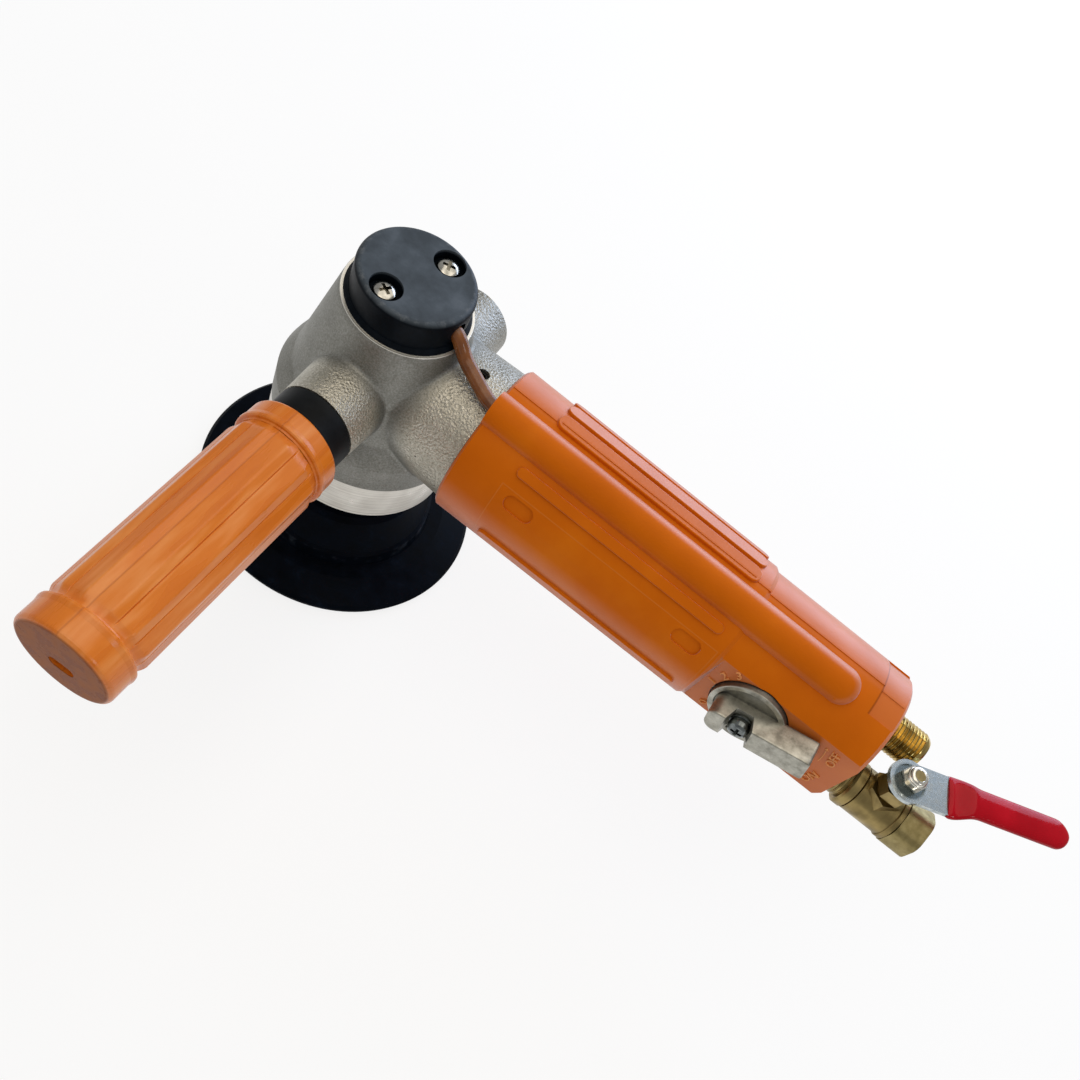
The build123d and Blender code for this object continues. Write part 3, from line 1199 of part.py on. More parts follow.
SPOOL_R = SPOOL_BORE_R - RUN_GAP
SPOOL_LEN = SPOOL_DEPTH - 2 * BODY_GAP
with BuildPart() as throttle_spool:
    with BuildSketch(dial(SPOOL_END_Y - BODY_GAP)):
        Circle(SPOOL_R)
    extrude(amount=SPOOL_LEN + BODY_GAP)
    with BuildSketch(dial(DISC_BACK_Y)):
        Rectangle(SPOOL_TANG_AF, SPOOL_TANG_AF)
    extrude(amount=SPOOL_TANG_H)
    with BuildSketch(dial(-BACKHEAD_FLAT)):
        Rectangle(SPOOL_TANG_AF, SPOOL_TANG_AF)
    extrude(amount=BODY_GAP)
    for y in (-BACKHEAD_FLAT + ORING_INSET, SPOOL_END_Y - ORING_INSET + ORING_W):
        with BuildSketch(dial(y)):
            Circle(SPOOL_BORE_R + CUT)
            Circle(SPOOL_R - ORING_DEPTH, mode=Mode.SUBTRACT)
        extrude(amount=ORING_W, mode=Mode.SUBTRACT)
    port = radians(BAR_OFF_ANGLE + THROTTLE_TRAVEL)
    with BuildSketch(
        Plane(
            origin=(THROTTLE_X, AIR_OUT_Y, AXIS_Z),
            x_dir=(0, 1, 0),
            z_dir=(cos(port), 0, sin(port)),
        )
    ):
        Circle(SPOOL_PORT_R)
    extrude(amount=SPOOL_BORE_R + CUT, both=True, mode=Mode.SUBTRACT)
    with BuildSketch(dial(-BAR_NOTCH_FLOOR)):
        Circle(LEVER_SCREW_R)
    extrude(amount=-LEVER_SCREW_LEN, mode=Mode.SUBTRACT)

oring_faces = (-BACKHEAD_FLAT + ORING_INSET, SPOOL_END_Y - ORING_INSET + ORING_W)
oring_size = (SPOOL_BORE_R - RUN_GAP / 2, SPOOL_R - ORING_DEPTH, ORING_W)
throttle_rings = Compound(children=[ring_piece(dial(y), *oring_size) for y in oring_faces])

# air inlet nipple
with BuildPart() as air_nipple:
    with BuildSketch(across(BACKHEAD_END_X - NIPPLE_ROOT_LEN, NIPPLE_Y, NIPPLE_Z)):
        Circle(NIPPLE_ROOT_R)
    extrude(amount=NIPPLE_ROOT_LEN + SLEEVE_END_X - BACKHEAD_END_X)
    with BuildSketch(across(SLEEVE_END_X, NIPPLE_Y, NIPPLE_Z)):
        RegularPolygon(NIPPLE_HEX_AF / 2, 6, major_radius=False, rotation=18)
    extrude(amount=NIPPLE_HEX_LEN)
    with BuildSketch(across(SLEEVE_END_X + NIPPLE_HEX_LEN, NIPPLE_Y, NIPPLE_Z)):
        Circle(NIPPLE_R)
    extrude(amount=NIPPLE_LEN)
    chamfer(air_nipple.edges().group_by(Axis.X)[-1], 0.8)
    with BuildSketch(across(BACKHEAD_END_X - NIPPLE_ROOT_LEN, NIPPLE_Y, NIPPLE_Z)):
        Circle(NIPPLE_BORE_R)
    extrude(amount=NIPPLE_ROOT_LEN + NIPPLE_HEX_LEN + NIPPLE_LEN + CUT, mode=Mode.SUBTRACT)

# water ball valve
BONNET_Z = VALVE_Z + BONNET_RISE
CHAMBER_FRONT_X = STEM_X - BALL_R - SEAT_T
with BuildPart() as valve_body:
    with BuildSketch(across(BACKHEAD_END_X - VALVE_ROOT_LEN, VALVE_Y, VALVE_Z)):
        Circle(VALVE_THREAD_R)
    extrude(amount=VALVE_FLANGE_X - BACKHEAD_END_X + VALVE_ROOT_LEN)
    with BuildSketch(across(VALVE_FLANGE_X, VALVE_Y, VALVE_Z)):
        Circle(VALVE_FLANGE_R)
    extrude(amount=VALVE_FLANGE_T)
    round_edges = valve_body.edges().filter_by(GeomType.CIRCLE)
    chamfer(round_edges.filter_by(lambda e: abs(e.radius - VALVE_FLANGE_R) < 0.01), VALVE_EDGE)
    with BuildSketch(across(VALVE_BODY_X, VALVE_Y, VALVE_Z)):
        Circle(VALVE_BODY_R)
    extrude(amount=VALVE_BODY_LEN)
    with BuildSketch(Plane.XY.offset(VALVE_Z)):
        with Locations((STEM_X, VALVE_Y)):
            RegularPolygon(BONNET_AF / 2, 6, major_radius=False, rotation=30)
    extrude(amount=BONNET_HEX_RISE)
    with BuildSketch(Plane.XY.offset(VALVE_Z)):
        with Locations((STEM_X, VALVE_Y)):
            Circle(BONNET_R)
    extrude(amount=BONNET_RISE)
    with BuildSketch(across(BACKHEAD_END_X - VALVE_ROOT_LEN, VALVE_Y, VALVE_Z)):
        Circle(VALVE_BORE_R)
    extrude(amount=STEM_X - BACKHEAD_END_X + VALVE_ROOT_LEN, mode=Mode.SUBTRACT)
    with BuildSketch(across(CHAMBER_FRONT_X, VALVE_Y, VALVE_Z)):
        Circle(BALL_R + BODY_GAP)
    extrude(amount=VALVE_END_X - CHAMBER_FRONT_X, mode=Mode.SUBTRACT)
    with BuildSketch(Plane.XY.offset(VALVE_Z)):
        with Locations((STEM_X, VALVE_Y)):
            Circle(STEM_R + RUN_GAP)
    extrude(amount=BONNET_RISE + CUT, mode=Mode.SUBTRACT)

with BuildPart() as valve_end:
    with BuildSketch(across(VALVE_END_X, VALVE_Y, VALVE_Z)):
        Circle(VALVE_RING_R)
    extrude(amount=VALVE_RING_T)
    with BuildSketch(across(VALVE_END_X + VALVE_RING_T, VALVE_Y, VALVE_Z)):
        RegularPolygon(VALVE_END_AF / 2, 6, major_radius=False, rotation=30)
    extrude(amount=VALVE_END_LEN - VALVE_RING_T)
    chamfer(valve_end.edges().group_by(Axis.X)[-1], VALVE_EDGE)
    with BuildSketch(across(STEM_X + BALL_R + SEAT_T, VALVE_Y, VALVE_Z)):
        Circle(BALL_R + BODY_GAP)
    extrude(amount=VALVE_END_X - STEM_X - BALL_R - SEAT_T)
    with BuildSketch(across(STEM_X, VALVE_Y, VALVE_Z)):
        Circle(VALVE_BORE_R)
    extrude(amount=VALVE_END_X - STEM_X + VALVE_END_LEN, mode=Mode.SUBTRACT)
    with BuildSketch(across(VALVE_END_X + VALVE_END_LEN - VALVE_INLET_DEPTH, VALVE_Y, VALVE_Z)):
        Circle(VALVE_INLET_R)
    extrude(amount=VALVE_INLET_DEPTH, mode=Mode.SUBTRACT)

with BuildPart() as valve_ball:
    with BuildSketch(Plane(origin=(STEM_X, VALVE_Y, VALVE_Z))):
        with BuildLine():
            Line((0, -BALL_R), (0, BALL_R))
            ThreePointArc((0, BALL_R), (BALL_R, 0), (0, -BALL_R))
        make_face()
    revolve(axis=Axis(origin=(STEM_X, VALVE_Y, VALVE_Z), direction=(0, 1, 0)))
    with BuildSketch(across(STEM_X - BALL_R, VALVE_Y, VALVE_Z)):
        Circle(VALVE_BORE_R)
    extrude(amount=2 * BALL_R, mode=Mode.SUBTRACT)
    with BuildSketch(Plane.XY.offset(VALVE_Z + BALL_R - 1.4)):
        with Locations((STEM_X, VALVE_Y)):
            Rectangle(3 * BALL_R, 2.0)
    extrude(amount=2.0, mode=Mode.SUBTRACT)

with BuildPart() as valve_seats:
    for face in (CHAMBER_FRONT_X, STEM_X + BALL_R):
        with BuildSketch(across(face, VALVE_Y, VALVE_Z)):
            Circle(BALL_R + BODY_GAP)
            Circle(VALVE_BORE_R, mode=Mode.SUBTRACT)
        extrude(amount=SEAT_T)

PACKING_Z = BONNET_Z
with BuildPart() as packing_nut:
    with BuildSketch(Plane.XY.offset(PACKING_Z)):
        with Locations((STEM_X, VALVE_Y)):
            RegularPolygon(PACKING_AF / 2, 6, major_radius=False)
            Circle(STEM_R + RUN_GAP, mode=Mode.SUBTRACT)
    extrude(amount=PACKING_H)

LEVER_TOP_Z = LEVER_Z + LEVER_T
with BuildPart() as valve_stem:
    with BuildSketch(Plane.XY.offset(VALVE_Z + BALL_R - 1.4)):
        with Locations((STEM_X, VALVE_Y)):
            Rectangle(2 * STEM_R - 0.8, 2.0)
    extrude(amount=1.6)
    with BuildSketch(Plane.XY.offset(VALVE_Z + BALL_R + 0.2)):
        with Locations((STEM_X, VALVE_Y)):
            Circle(STEM_R)
    extrude(amount=LEVER_Z - VALVE_Z - BALL_R - 0.2)
    with BuildSketch(Plane.XY.offset(LEVER_Z)):
        with Locations((STEM_X, VALVE_Y)):
            Circle(STEM_THREAD_R)
    extrude(amount=LEVER_T - LEVER_DISH_D + LEVER_NUT_H + LEVER_COLLAR_H + STEM_PROUD)

lever_dir = (cos(radians(LEVER_OPEN_ANGLE)), sin(radians(LEVER_OPEN_ANGLE)), 0)
lever_side = (lever_dir[1], -lever_dir[0], 0)
lever_plan = Plane(origin=(STEM_X, VALVE_Y, LEVER_Z - 2 * CUT), x_dir=lever_dir, z_dir=(0, 0, 1))
lever_edge = Plane(origin=(STEM_X, VALVE_Y, LEVER_Z), x_dir=lever_dir, z_dir=lever_side)
LEVER_ROOM = LEVER_T + LEVER_JOGGLE + 4 * CUT


def lever_outline(start, spread):
    """Outline of the lever blade from a station to its round tip, widened by a coat."""
    wide = LEVER_W / 2 + spread
    narrow = LEVER_TIP_W / 2 + spread
    tip = LEVER_LEN + spread
    Polyline(
        (tip - narrow, narrow),
        (LEVER_TAPER_TO, narrow),
        (LEVER_TAPER_FROM, wide),
        (start, wide),
        (start, -wide),
        (LEVER_TAPER_FROM, -wide),
        (LEVER_TAPER_TO, -narrow),
        (tip - narrow, -narrow),
    )
    ThreePointArc((tip - narrow, -narrow), (tip, 0), (tip - narrow, narrow))


def lever_bend(start, below, above):
    """Side view of the lever blade with its joggle, between two heights off the blade."""
    Polyline(
        (start, below),
        (LEVER_JOGGLE_FROM, below),
        (LEVER_JOGGLE_TO, LEVER_JOGGLE + below),
        (LEVER_LEN + 2 * CUT, LEVER_JOGGLE + below),
        (LEVER_LEN + 2 * CUT, LEVER_JOGGLE + above),
        (LEVER_JOGGLE_TO - 0.3, LEVER_JOGGLE + above),
        (LEVER_JOGGLE_FROM - 0.3, above),
        (start, above),
        close=True,
    )


with BuildPart() as valve_lever:
    with BuildSketch(lever_plan) as lever_plate_outline:
        with BuildLine():
            lever_outline(0, 0)
        make_face()
        taper = lever_plate_outline.vertices().filter_by_position(
            Axis.X, LEVER_TAPER_FROM - CUT, LEVER_TAPER_TO + CUT
        )
        fillet(taper, LEVER_BEND_R)
        Circle(LEVER_EYE_R)
        Circle(STEM_THREAD_R, mode=Mode.SUBTRACT)
    extrude(amount=LEVER_ROOM)
    with BuildSketch(lever_edge) as lever_side_view:
        with BuildLine():
            lever_bend(-LEVER_EYE_R - CUT, 0, LEVER_T)
        make_face()
        fillet(lever_side_view.vertices().sort_by(Axis.X)[2:6], LEVER_BEND_R)
    extrude(amount=LEVER_W, both=True, mode=Mode.INTERSECT)
    with BuildSketch(lever_plan.offset(2 * CUT + LEVER_T - LEVER_DISH_D)):
        Circle(LEVER_DISH_R)
    extrude(amount=LEVER_DISH_D, mode=Mode.SUBTRACT)

# dipped vinyl grip that follows the blade
with BuildPart() as lever_grip:
    with BuildSketch(lever_plan) as lever_grip_outline:
        with BuildLine():
            lever_outline(LEVER_GRIP_FROM, LEVER_COAT)
        make_face()
        taper = lever_grip_outline.vertices().filter_by_position(
            Axis.X, LEVER_TAPER_FROM - CUT, LEVER_TAPER_TO + CUT
        )
        fillet(taper, LEVER_BEND_R)
    extrude(amount=LEVER_ROOM)
    with BuildSketch(lever_edge) as lever_grip_side_view:
        with BuildLine():
            lever_bend(0, -LEVER_COAT_T, LEVER_T + LEVER_COAT_T)
        make_face()
        fillet(lever_grip_side_view.vertices().sort_by(Axis.X)[2:6], LEVER_BEND_R)
    extrude(amount=LEVER_W, both=True, mode=Mode.INTERSECT)
    add(valve_lever.part, mode=Mode.SUBTRACT)

NUT_SEAT_Z = LEVER_TOP_Z - LEVER_DISH_D
with BuildPart() as lever_nut:
    with BuildSketch(Plane.XY.offset(NUT_SEAT_Z)):
        with Locations((STEM_X, VALVE_Y)):
            RegularPolygon(LEVER_NUT_AF / 2, 6, major_radius=False)
    extrude(amount=LEVER_NUT_H)
    with BuildSketch(Plane.XY.offset(NUT_SEAT_Z + LEVER_NUT_H)):
        with Locations((STEM_X, VALVE_Y)):
            Circle(LEVER_COLLAR_R)
    extrude(amount=LEVER_COLLAR_H)
    fillet(lever_nut.edges().group_by(Axis.Z)[-1], 0.6)
    with BuildSketch(Plane.XY.offset(NUT_SEAT_Z)):
        with Locations((STEM_X, VALVE_Y)):
            Circle(STEM_THREAD_R)
    extrude(amount=LEVER_NUT_H + LEVER_COLLAR_H, mode=Mode.SUBTRACT)

# side handle
COLLAR_Y = -LEFT_BOSS_END
GRIP_Y = COLLAR_Y - COLLAR_LEN
with BuildPart() as handle_collar:
    with BuildSketch(facing_left(COLLAR_Y)):
        Circle(COLLAR_R)
    extrude(amount=COLLAR_LEN)
    chamfer(handle_collar.edges().filter_by(GeomType.CIRCLE), COLLAR_EDGE)
    with BuildSketch(facing_left(COLLAR_Y)):
        Circle(HANDLE_THREAD_R)
    extrude(amount=COLLAR_LEN, mode=Mode.SUBTRACT)

with BuildPart() as handle_stud:
    with BuildSketch(facing_left(COLLAR_Y + HANDLE_THREAD_DEPTH - 1.0)):
        Circle(HANDLE_THREAD_R)
    extrude(amount=HANDLE_THREAD_DEPTH - 1.0 + COLLAR_LEN + STUD_GRIP_LEN)

with BuildPart() as handle_grip:
    with BuildSketch(facing_left(GRIP_Y)):
        Circle(GRIP_BAND_R)
    extrude(amount=GRIP_FRONT_BAND)
    with BuildSketch(facing_left(GRIP_Y - GRIP_FRONT_BAND)) as grip_section:
        RegularPolygon(GRIP_BODY_R, GRIP_SIDES, rotation=15)
        fillet(grip_section.vertices(), GRIP_CORNER_R)
        with PolarLocations(GRIP_BODY_R, GRIP_SIDES // 2, start_angle=15):
            Rectangle(2 * GRIP_GROOVE_D, GRIP_GROOVE_W, mode=Mode.SUBTRACT)
    extrude(amount=GRIP_LEN - GRIP_FRONT_BAND - GRIP_REAR_BAND)
    with BuildSketch(facing_left(GRIP_Y - GRIP_LEN + GRIP_REAR_BAND)):
        Circle(GRIP_BAND_R)
    extrude(amount=GRIP_REAR_BAND)
    fillet(handle_grip.edges().group_by(Axis.Y)[0], GRIP_END_ROUND)
    fillet(handle_grip.edges().group_by(Axis.Y)[-1], GRIP_FRONT_ROUND)
    for lip in (GRIP_Y - GRIP_FRONT_BAND + GRIP_LIP_W, GRIP_Y - GRIP_LEN + GRIP_REAR_BAND):
        with BuildSketch(facing_left(lip)):
            Circle(GRIP_LIP_R)
        extrude(amount=GRIP_LIP_W)
    round_edges = handle_grip.edges().filter_by(GeomType.CIRCLE)
    fillet(round_edges.filter_by(lambda e: abs(e.radius - GRIP_LIP_R) < 0.01), GRIP_LIP_ROUND)
    for face, way in ((GRIP_Y - GRIP_FRONT_BAND, -1), (GRIP_Y - GRIP_LEN + GRIP_REAR_BAND, 1)):
        with BuildSketch(Plane(origin=(0, 0, HANDLE_Z))):
            with BuildLine():
                Polyline(
                    (GRIP_BODY_R + CUT, face),
                    (GRIP_BAND_R - GRIP_LIP_ROUND, face),
                    (GRIP_BODY_R - GRIP_VALLEY_D, face + way * GRIP_VALLEY_FOOT),
                    (GRIP_BODY_R + RUN_GAP, face + way * GRIP_VALLEY_W),
                    (GRIP_BODY_R + CUT, face + way * GRIP_VALLEY_W),
                    close=True,
                )
            make_face()
        revolve(axis=Axis(origin=(0, 0, HANDLE_Z), direction=(0, 1, 0)), mode=Mode.SUBTRACT)
    with BuildSketch(facing_left(GRIP_Y)):
        Circle(HANDLE_THREAD_R)
    extrude(amount=STUD_GRIP_LEN, mode=Mode.SUBTRACT)
    with BuildSketch(facing_left(GRIP_Y - GRIP_LEN + END_SLOT_DEPTH, 0, HANDLE_Z - END_SLOT_DROP)):
        SlotOverall(END_SLOT_L, END_SLOT_W)
    extrude(amount=END_SLOT_DEPTH + CUT, mode=Mode.SUBTRACT)

pieces = {
    "gear_head_housing": head_housing.part,
    "spindle_bearing_cap": bearing_cap.part,
    "lower_bearing_outer_race": lower_outer,
    "upper_bearing_outer_race": upper_outer,
    "spindle_oil_seal": oil_seal,
    "water_seal": water_seal,
    "water_cap_gasket": cap_gasket.part,
    "water_cap": water_cap.part,
    "water_cap_screws": cap_screws.part,
    "water_tube": water_tube.part,
    "neck_set_screw": set_screw.part,
    "pinion_bearing_outer_race": pinion_outer,
    "pinion_bearing_retainer": pinion_retainer,
    "motor_housing": motor_housing,
    "front_end_plate": front_plate.part,
    "rear_end_plate": rear_plate.part,
    "motor_cylinder": motor_cylinder.part,
    "cylinder_dowel": dowel_pin.part,
    "rotor_bearing_outer_races": rotor_outers,
    "backhead": backhead.part,
    "exhaust_silencer": exhaust_silencer.part,
    "grip_sleeve": grip_sleeve.part,
    "air_inlet_nipple": air_nipple.part,
    "water_valve_body": valve_body.part,
    "water_valve_end": valve_end.part,
    "water_valve_seats": valve_seats.part,
    "water_valve_packing_nut": packing_nut.part,
    "side_handle_collar": handle_collar.part,
    "side_handle_stud": handle_stud.part,
    "side_handle_grip": handle_grip.part,
    "spindle": spindle.part,
    "gear_key": gear_key.part,
    "driven_bevel_gear": driven_gear.part,
    "gear_lock_nut": gear_nut.part,
    "lower_bearing_inner_race": lower_inner,
    "upper_bearing_inner_race": upper_inner,
    "pad_insert": pad_insert.part,
    "backing_pad": backing_pad.part,
    "hook_face": hook_face.part,
    "bevel_pinion": bevel_pinion.part,
    "pinion_bearing_inner_race": pinion_inner,
    "rotor": rotor.part,
    "rotor_vanes": rotor_vanes.part,
    "rotor_bearing_inner_races": rotor_inners,
    "throttle_lever": throttle_lever.part,
    "throttle_lever_screw": lever_screw.part,
    "throttle_spool": throttle_spool.part,
    "throttle_o_rings": throttle_rings,
    "valve_stem": valve_stem.part,
    "valve_ball": valve_ball.part,
    "valve_lever_plate": valve_lever.part,
    "valve_lever_grip": lever_grip.part,
    "valve_lever_nut": lever_nut.part,
}
for label, piece in pieces.items():
    piece.label = label
    export_step(piece, f"parts/{label}.step")
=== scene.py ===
"""Looks of the pneumatic wet polisher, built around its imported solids.

Metres, in the frame of the solids: +Z up the spindle, +X along the main handle, side handle to -Y.
"""
from math import asin, cos, pi, radians, sin

import bmesh
import bpy
from mathutils import Matrix, Vector


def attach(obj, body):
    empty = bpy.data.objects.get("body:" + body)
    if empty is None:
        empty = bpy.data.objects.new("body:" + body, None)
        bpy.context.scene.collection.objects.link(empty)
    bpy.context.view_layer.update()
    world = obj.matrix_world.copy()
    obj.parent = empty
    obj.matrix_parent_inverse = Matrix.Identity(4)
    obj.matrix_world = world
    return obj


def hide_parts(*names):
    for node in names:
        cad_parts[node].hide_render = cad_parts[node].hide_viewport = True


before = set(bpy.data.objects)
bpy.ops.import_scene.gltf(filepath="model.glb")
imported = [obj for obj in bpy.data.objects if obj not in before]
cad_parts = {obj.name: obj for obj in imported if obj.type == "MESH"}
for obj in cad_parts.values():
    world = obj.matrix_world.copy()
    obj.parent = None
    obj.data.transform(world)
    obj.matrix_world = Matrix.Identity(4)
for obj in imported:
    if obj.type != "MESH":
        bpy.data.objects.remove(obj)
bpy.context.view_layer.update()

MM = 0.001
MERGE = 0.002 * MM
FLOOR_HALF = 3.0
FLOOR_Z = -0.4 * MM
FLOOR_WHITE = 0.82
UP = Vector((0, 0, 1))
ALONG = Vector((1, 0, 0))
ORIGIN = Vector((0, 0, 0))

# inputs of a Mix node: the share, then the colour below and the colour above it, or two plain values
SHARE, UNDER, OVER = 0, 6, 7
FIRST, SECOND = 2, 3

# stations of the gear head and its cap, in mm; below FETTLED_TO, as radius + 0.3 z, the casting is fettled
FETTLED_TO = 51.5
CAST_FROM = 56.0
LAND_R = 19.6
LAND_Z = 102.2
BARREL_TOP_R = 20.8
RIM_R = 20.3
RIM_TOP_Z = 104.1
CAP_R = 18.1
CAP_EDGE_R = 15.9
CAP_FACE_Z = 115.3
CAP_SCREW_CIRCLE = 11.65
CAP_SCREW_ANGLE = 72.0
CAP_SCREW_SEAT_Z = 112.0
CAP_HEAD_R = 3.6
CAP_HEAD_H = 2.5
SHANK_R = 2.0
SHANK_L = 4.0
PAD_STEP_R = 33.4

# stations of the sleeve and its throttle, in mm
MOTOR_AXIS_Z = 77.0
SLEEVE_END_X = 193.0
PANEL_X = 94.3
PANEL_HALF_RUN = 40.7
PANEL_R = 25.3
PANEL_HALF_ARC = 11.15
PANEL_TURN = radians(80.75)
REAR_BAND_X = SLEEVE_END_X - 10.5
REAR_BAND_TURN = radians(-10.0)
REAR_BAND_HALF = radians(34.0)
DIAL_X = 156.0
DIAL_FLAT_Y = -20.5
DIAL_FROM_X = 137.0
DIAL_SUNK_Y = -22.3
DIAL_SEAT_Y = -25.2
DIAL_WASHER_R = 3.9
DIAL_WASHER_T = 1.0
DIAL_HEAD_R = 3.6
DIAL_HEAD_H = 3.6
MARK_SIZE = 4.34
MARK_RISE = 0.45
ARROW_R = 26.6
ARROW_RISE = 0.2

# stations of the air nipple and the water valve, in mm
NIPPLE_CENTRE = Vector((0, 5.0, 82.0))
NIPPLE_SUNK = 8.0
NIPPLE_HEX_AF = 14.6
NIPPLE_HEX_LEN = 3.4
NIPPLE_REACH = 17.6
NIPPLE_R = 6.6
NIPPLE_BORE_R = 4.2
PIPE_PITCH = 1.34
PIPE_DEPTH = 0.62
VALVE_CENTRE = Vector((0, -9.5, 66.5))
VALVE_BORE_R = 3.2
VALVE_THREAD_R = 6.5
VALVE_THREAD_END_X = 198.6
VALVE_END_X = 217.2
VALVE_END_LEN = 11.8
VALVE_END_AF = 17.0
VALVE_RING_R = 8.7
VALVE_RING_T = 2.2
VALVE_INLET_R = 5.7
STEM_X = 209.8
STEM_Y = -9.5
STEM_TOP_Z = 91.3
LEVER_DISH_R = 5.4
LEVER_ANGLE = 20.0
LEVER_MID_Z = 85.3
LEVER_JOGGLE = 2.3
LEVER_JOGGLE_FROM = 15.8
LEVER_JOGGLE_RUN = 7.6
LEVER_GRIP_FROM = 14.6
LEVER_TAPER_FROM = 16.0
LEVER_TAPER_RUN = 10.0
LEVER_TIP = 60.0
LEVER_WIDE = 7.3
LEVER_NARROW = 5.3
LEVER_HALF_T = 1.9

# stations of the side grip, in mm
GRIP_AXIS_Z = 80.15
GRIP_FRONT_Y = -48.3
GRIP_BODY_FROM = -56.0
GRIP_BODY_TO = -131.0
GRIP_END_Y = -140.7
MOULD_TURN = 4.5
FLUTES = 12
FLUTE_R = 15.05
FLUTE_LOW_R = 14.3
VALLEY_R = 13.9
END_SLOT_L = 7.6
END_SLOT_W = 4.0
END_SLOT_DEPTH = 18.0
END_SLOT_DROP = 2.4


def linear(code):
    """sRGB hex colour as the linear values that the shaders take."""
    parts = [int(code[i : i + 2], 16) / 255 for i in (1, 3, 5)]
    return [p / 12.92 if p <= 0.04045 else ((p + 0.055) / 1.055) ** 2.4 for p in parts] + [1.0]


def per_mm(size):
    """Texture scale whose features are about this many millimetres across."""
    return 1.0 / (size * MM)


def node(tree, kind, inputs=(), stops=(), **settings):
    """Adds a node with its settings, its ramp stops and its inputs, by name or in their order.

    An input is a hex colour, a plain value, a socket, or a node that gives its first live output.
    """
    made = tree.nodes.new("ShaderNode" + kind)
    for key, value in settings.items():
        setattr(made, key, value)
    for index, (place, code) in enumerate(stops):
        ramp = made.color_ramp.elements
        step = ramp[index] if index < len(ramp) else ramp.new(place)
        step.position = place
        step.color = linear(code)
    for key, value in inputs.items() if isinstance(inputs, dict) else enumerate(inputs):
        socket = made.inputs[key]
        if isinstance(value, bpy.types.Node):
            value = next(output for output in value.outputs if output.enabled)
        if isinstance(value, bpy.types.NodeSocket):
            tree.links.new(value, socket)
        else:
            socket.default_value = linear(value) if isinstance(value, str) else value
    return made


def blank(name):
    """New material, its empty tree and the object's own coordinates."""
    material = bpy.data.materials.new(name)
    material.use_nodes = True
    tree = material.node_tree
    tree.nodes.clear()
    return material, tree, node(tree, "TexCoord").outputs["Object"]


def surfaced(material, colour, rough, relief, **others):
    """Gives a material its shader: colour, roughness and relief from nodes, and its other inputs by name."""
    inputs = {"Base Color": colour, "Roughness": rough, "Normal": relief}
    inputs.update({key.replace("_", " "): value for key, value in others.items()})
    shader = node(material.node_tree, "BsdfPrincipled", inputs)
    node(material.node_tree, "OutputMaterial", {"Surface": shader})
    return material


def radius_about(tree, point, axis):
    """Distance of a point from one of the axes through its origin."""
    across = [float(letter != axis) for letter in "XYZ"]
    flat = node(tree, "VectorMath", [point, across], operation="MULTIPLY")
    return node(tree, "VectorMath", [flat], operation="LENGTH")


def sand_cast_aluminium():
    # sand-cast aluminium: the neck and bosses are left as cast, pale with a glinting coarse sand grain and
    # a few gas pits; the bell and barrel are fettled, so they are greyer and smoother; the rim under the cap
    # is turned; the far side is rubbed grey by the hand
    material, tree, place = blank("sand_cast_aluminium")
    parts = node(tree, "SeparateXYZ", [place]).outputs
    taper = node(tree, "Math", [parts["Z"], 0.3, radius_about(tree, place, "Z")], operation="MULTIPLY_ADD")
    coarse = node(tree, "MapRange", [taper, FETTLED_TO * MM, CAST_FROM * MM])
    rim = node(tree, "Math", [parts["Z"], RIM_TOP_Z * MM], operation="GREATER_THAN")
    stains = node(tree, "TexNoise", {"Vector": place, "Scale": per_mm(14), "Detail": 5.0, "Roughness": 0.6})
    grain = node(tree, "TexNoise", {"Vector": place, "Scale": per_mm(0.55), "Detail": 2.0, "Roughness": 0.7})
    sand = node(tree, "TexVoronoi", {"Vector": place, "Scale": per_mm(0.85)})
    fettled = node(tree, "ValToRGB", [stains], [(0.30, "#84847F"), (0.55, "#92928D"), (0.75, "#9E9E9A")])
    raw = node(tree, "ValToRGB", [stains], [(0.30, "#B4B0A4"), (0.55, "#C6C2B6"), (0.75, "#D4D0C6")])
    handled = node(tree, "MapRange", [parts["Y"], -6.0 * MM, 12.0 * MM, 1.0, 0.25])
    pale = node(tree, "Math", [coarse, handled], operation="MULTIPLY")
    skin = node(tree, "Mix", {SHARE: pale, UNDER: fettled, OVER: raw}, data_type="RGBA")
    speck = node(tree, "ValToRGB", [grain], [(0.32, "#CFCEC8"), (0.50, "#EAE9E6"), (0.66, "#FFFFFF")])
    both = {SHARE: 1.0, UNDER: skin, OVER: speck}
    toned = node(tree, "Mix", both, data_type="RGBA", blend_type="MULTIPLY")
    cells = node(tree, "TexVoronoi", {"Vector": place, "Scale": per_mm(9.0)})
    pit = node(tree, "MapRange", [cells, 0.025, 0.05, 1.0, 0.0])
    pitted = node(tree, "Mix", {SHARE: pit, UNDER: toned, OVER: "#1B1916"}, data_type="RGBA")
    turned = node(tree, "Mix", {SHARE: rim, UNDER: pitted, OVER: "#E6E3DA"}, data_type="RGBA")
    rough = node(tree, "MapRange", [coarse, 0.0, 1.0, 0.52, 0.38])
    smooth = node(tree, "Math", [rim, -0.2, rough], operation="MULTIPLY_ADD")
    beads = node(tree, "Math", [sand, coarse, grain], operation="MULTIPLY_ADD")
    sunk = node(tree, "Math", [beads, pit], operation="SUBTRACT")
    kept = node(tree, "Math", [1.0, rim], operation="SUBTRACT")
    level = node(tree, "Math", [sunk, kept], operation="MULTIPLY")
    depth = node(tree, "MapRange", [coarse, 0.0, 1.0, 0.3, 1.0])
    relief = node(tree, "Bump", {"Height": level, "Strength": depth, "Distance": 0.2 * MM})
    return surfaced(material, turned, smooth, relief, Metallic=0.8)


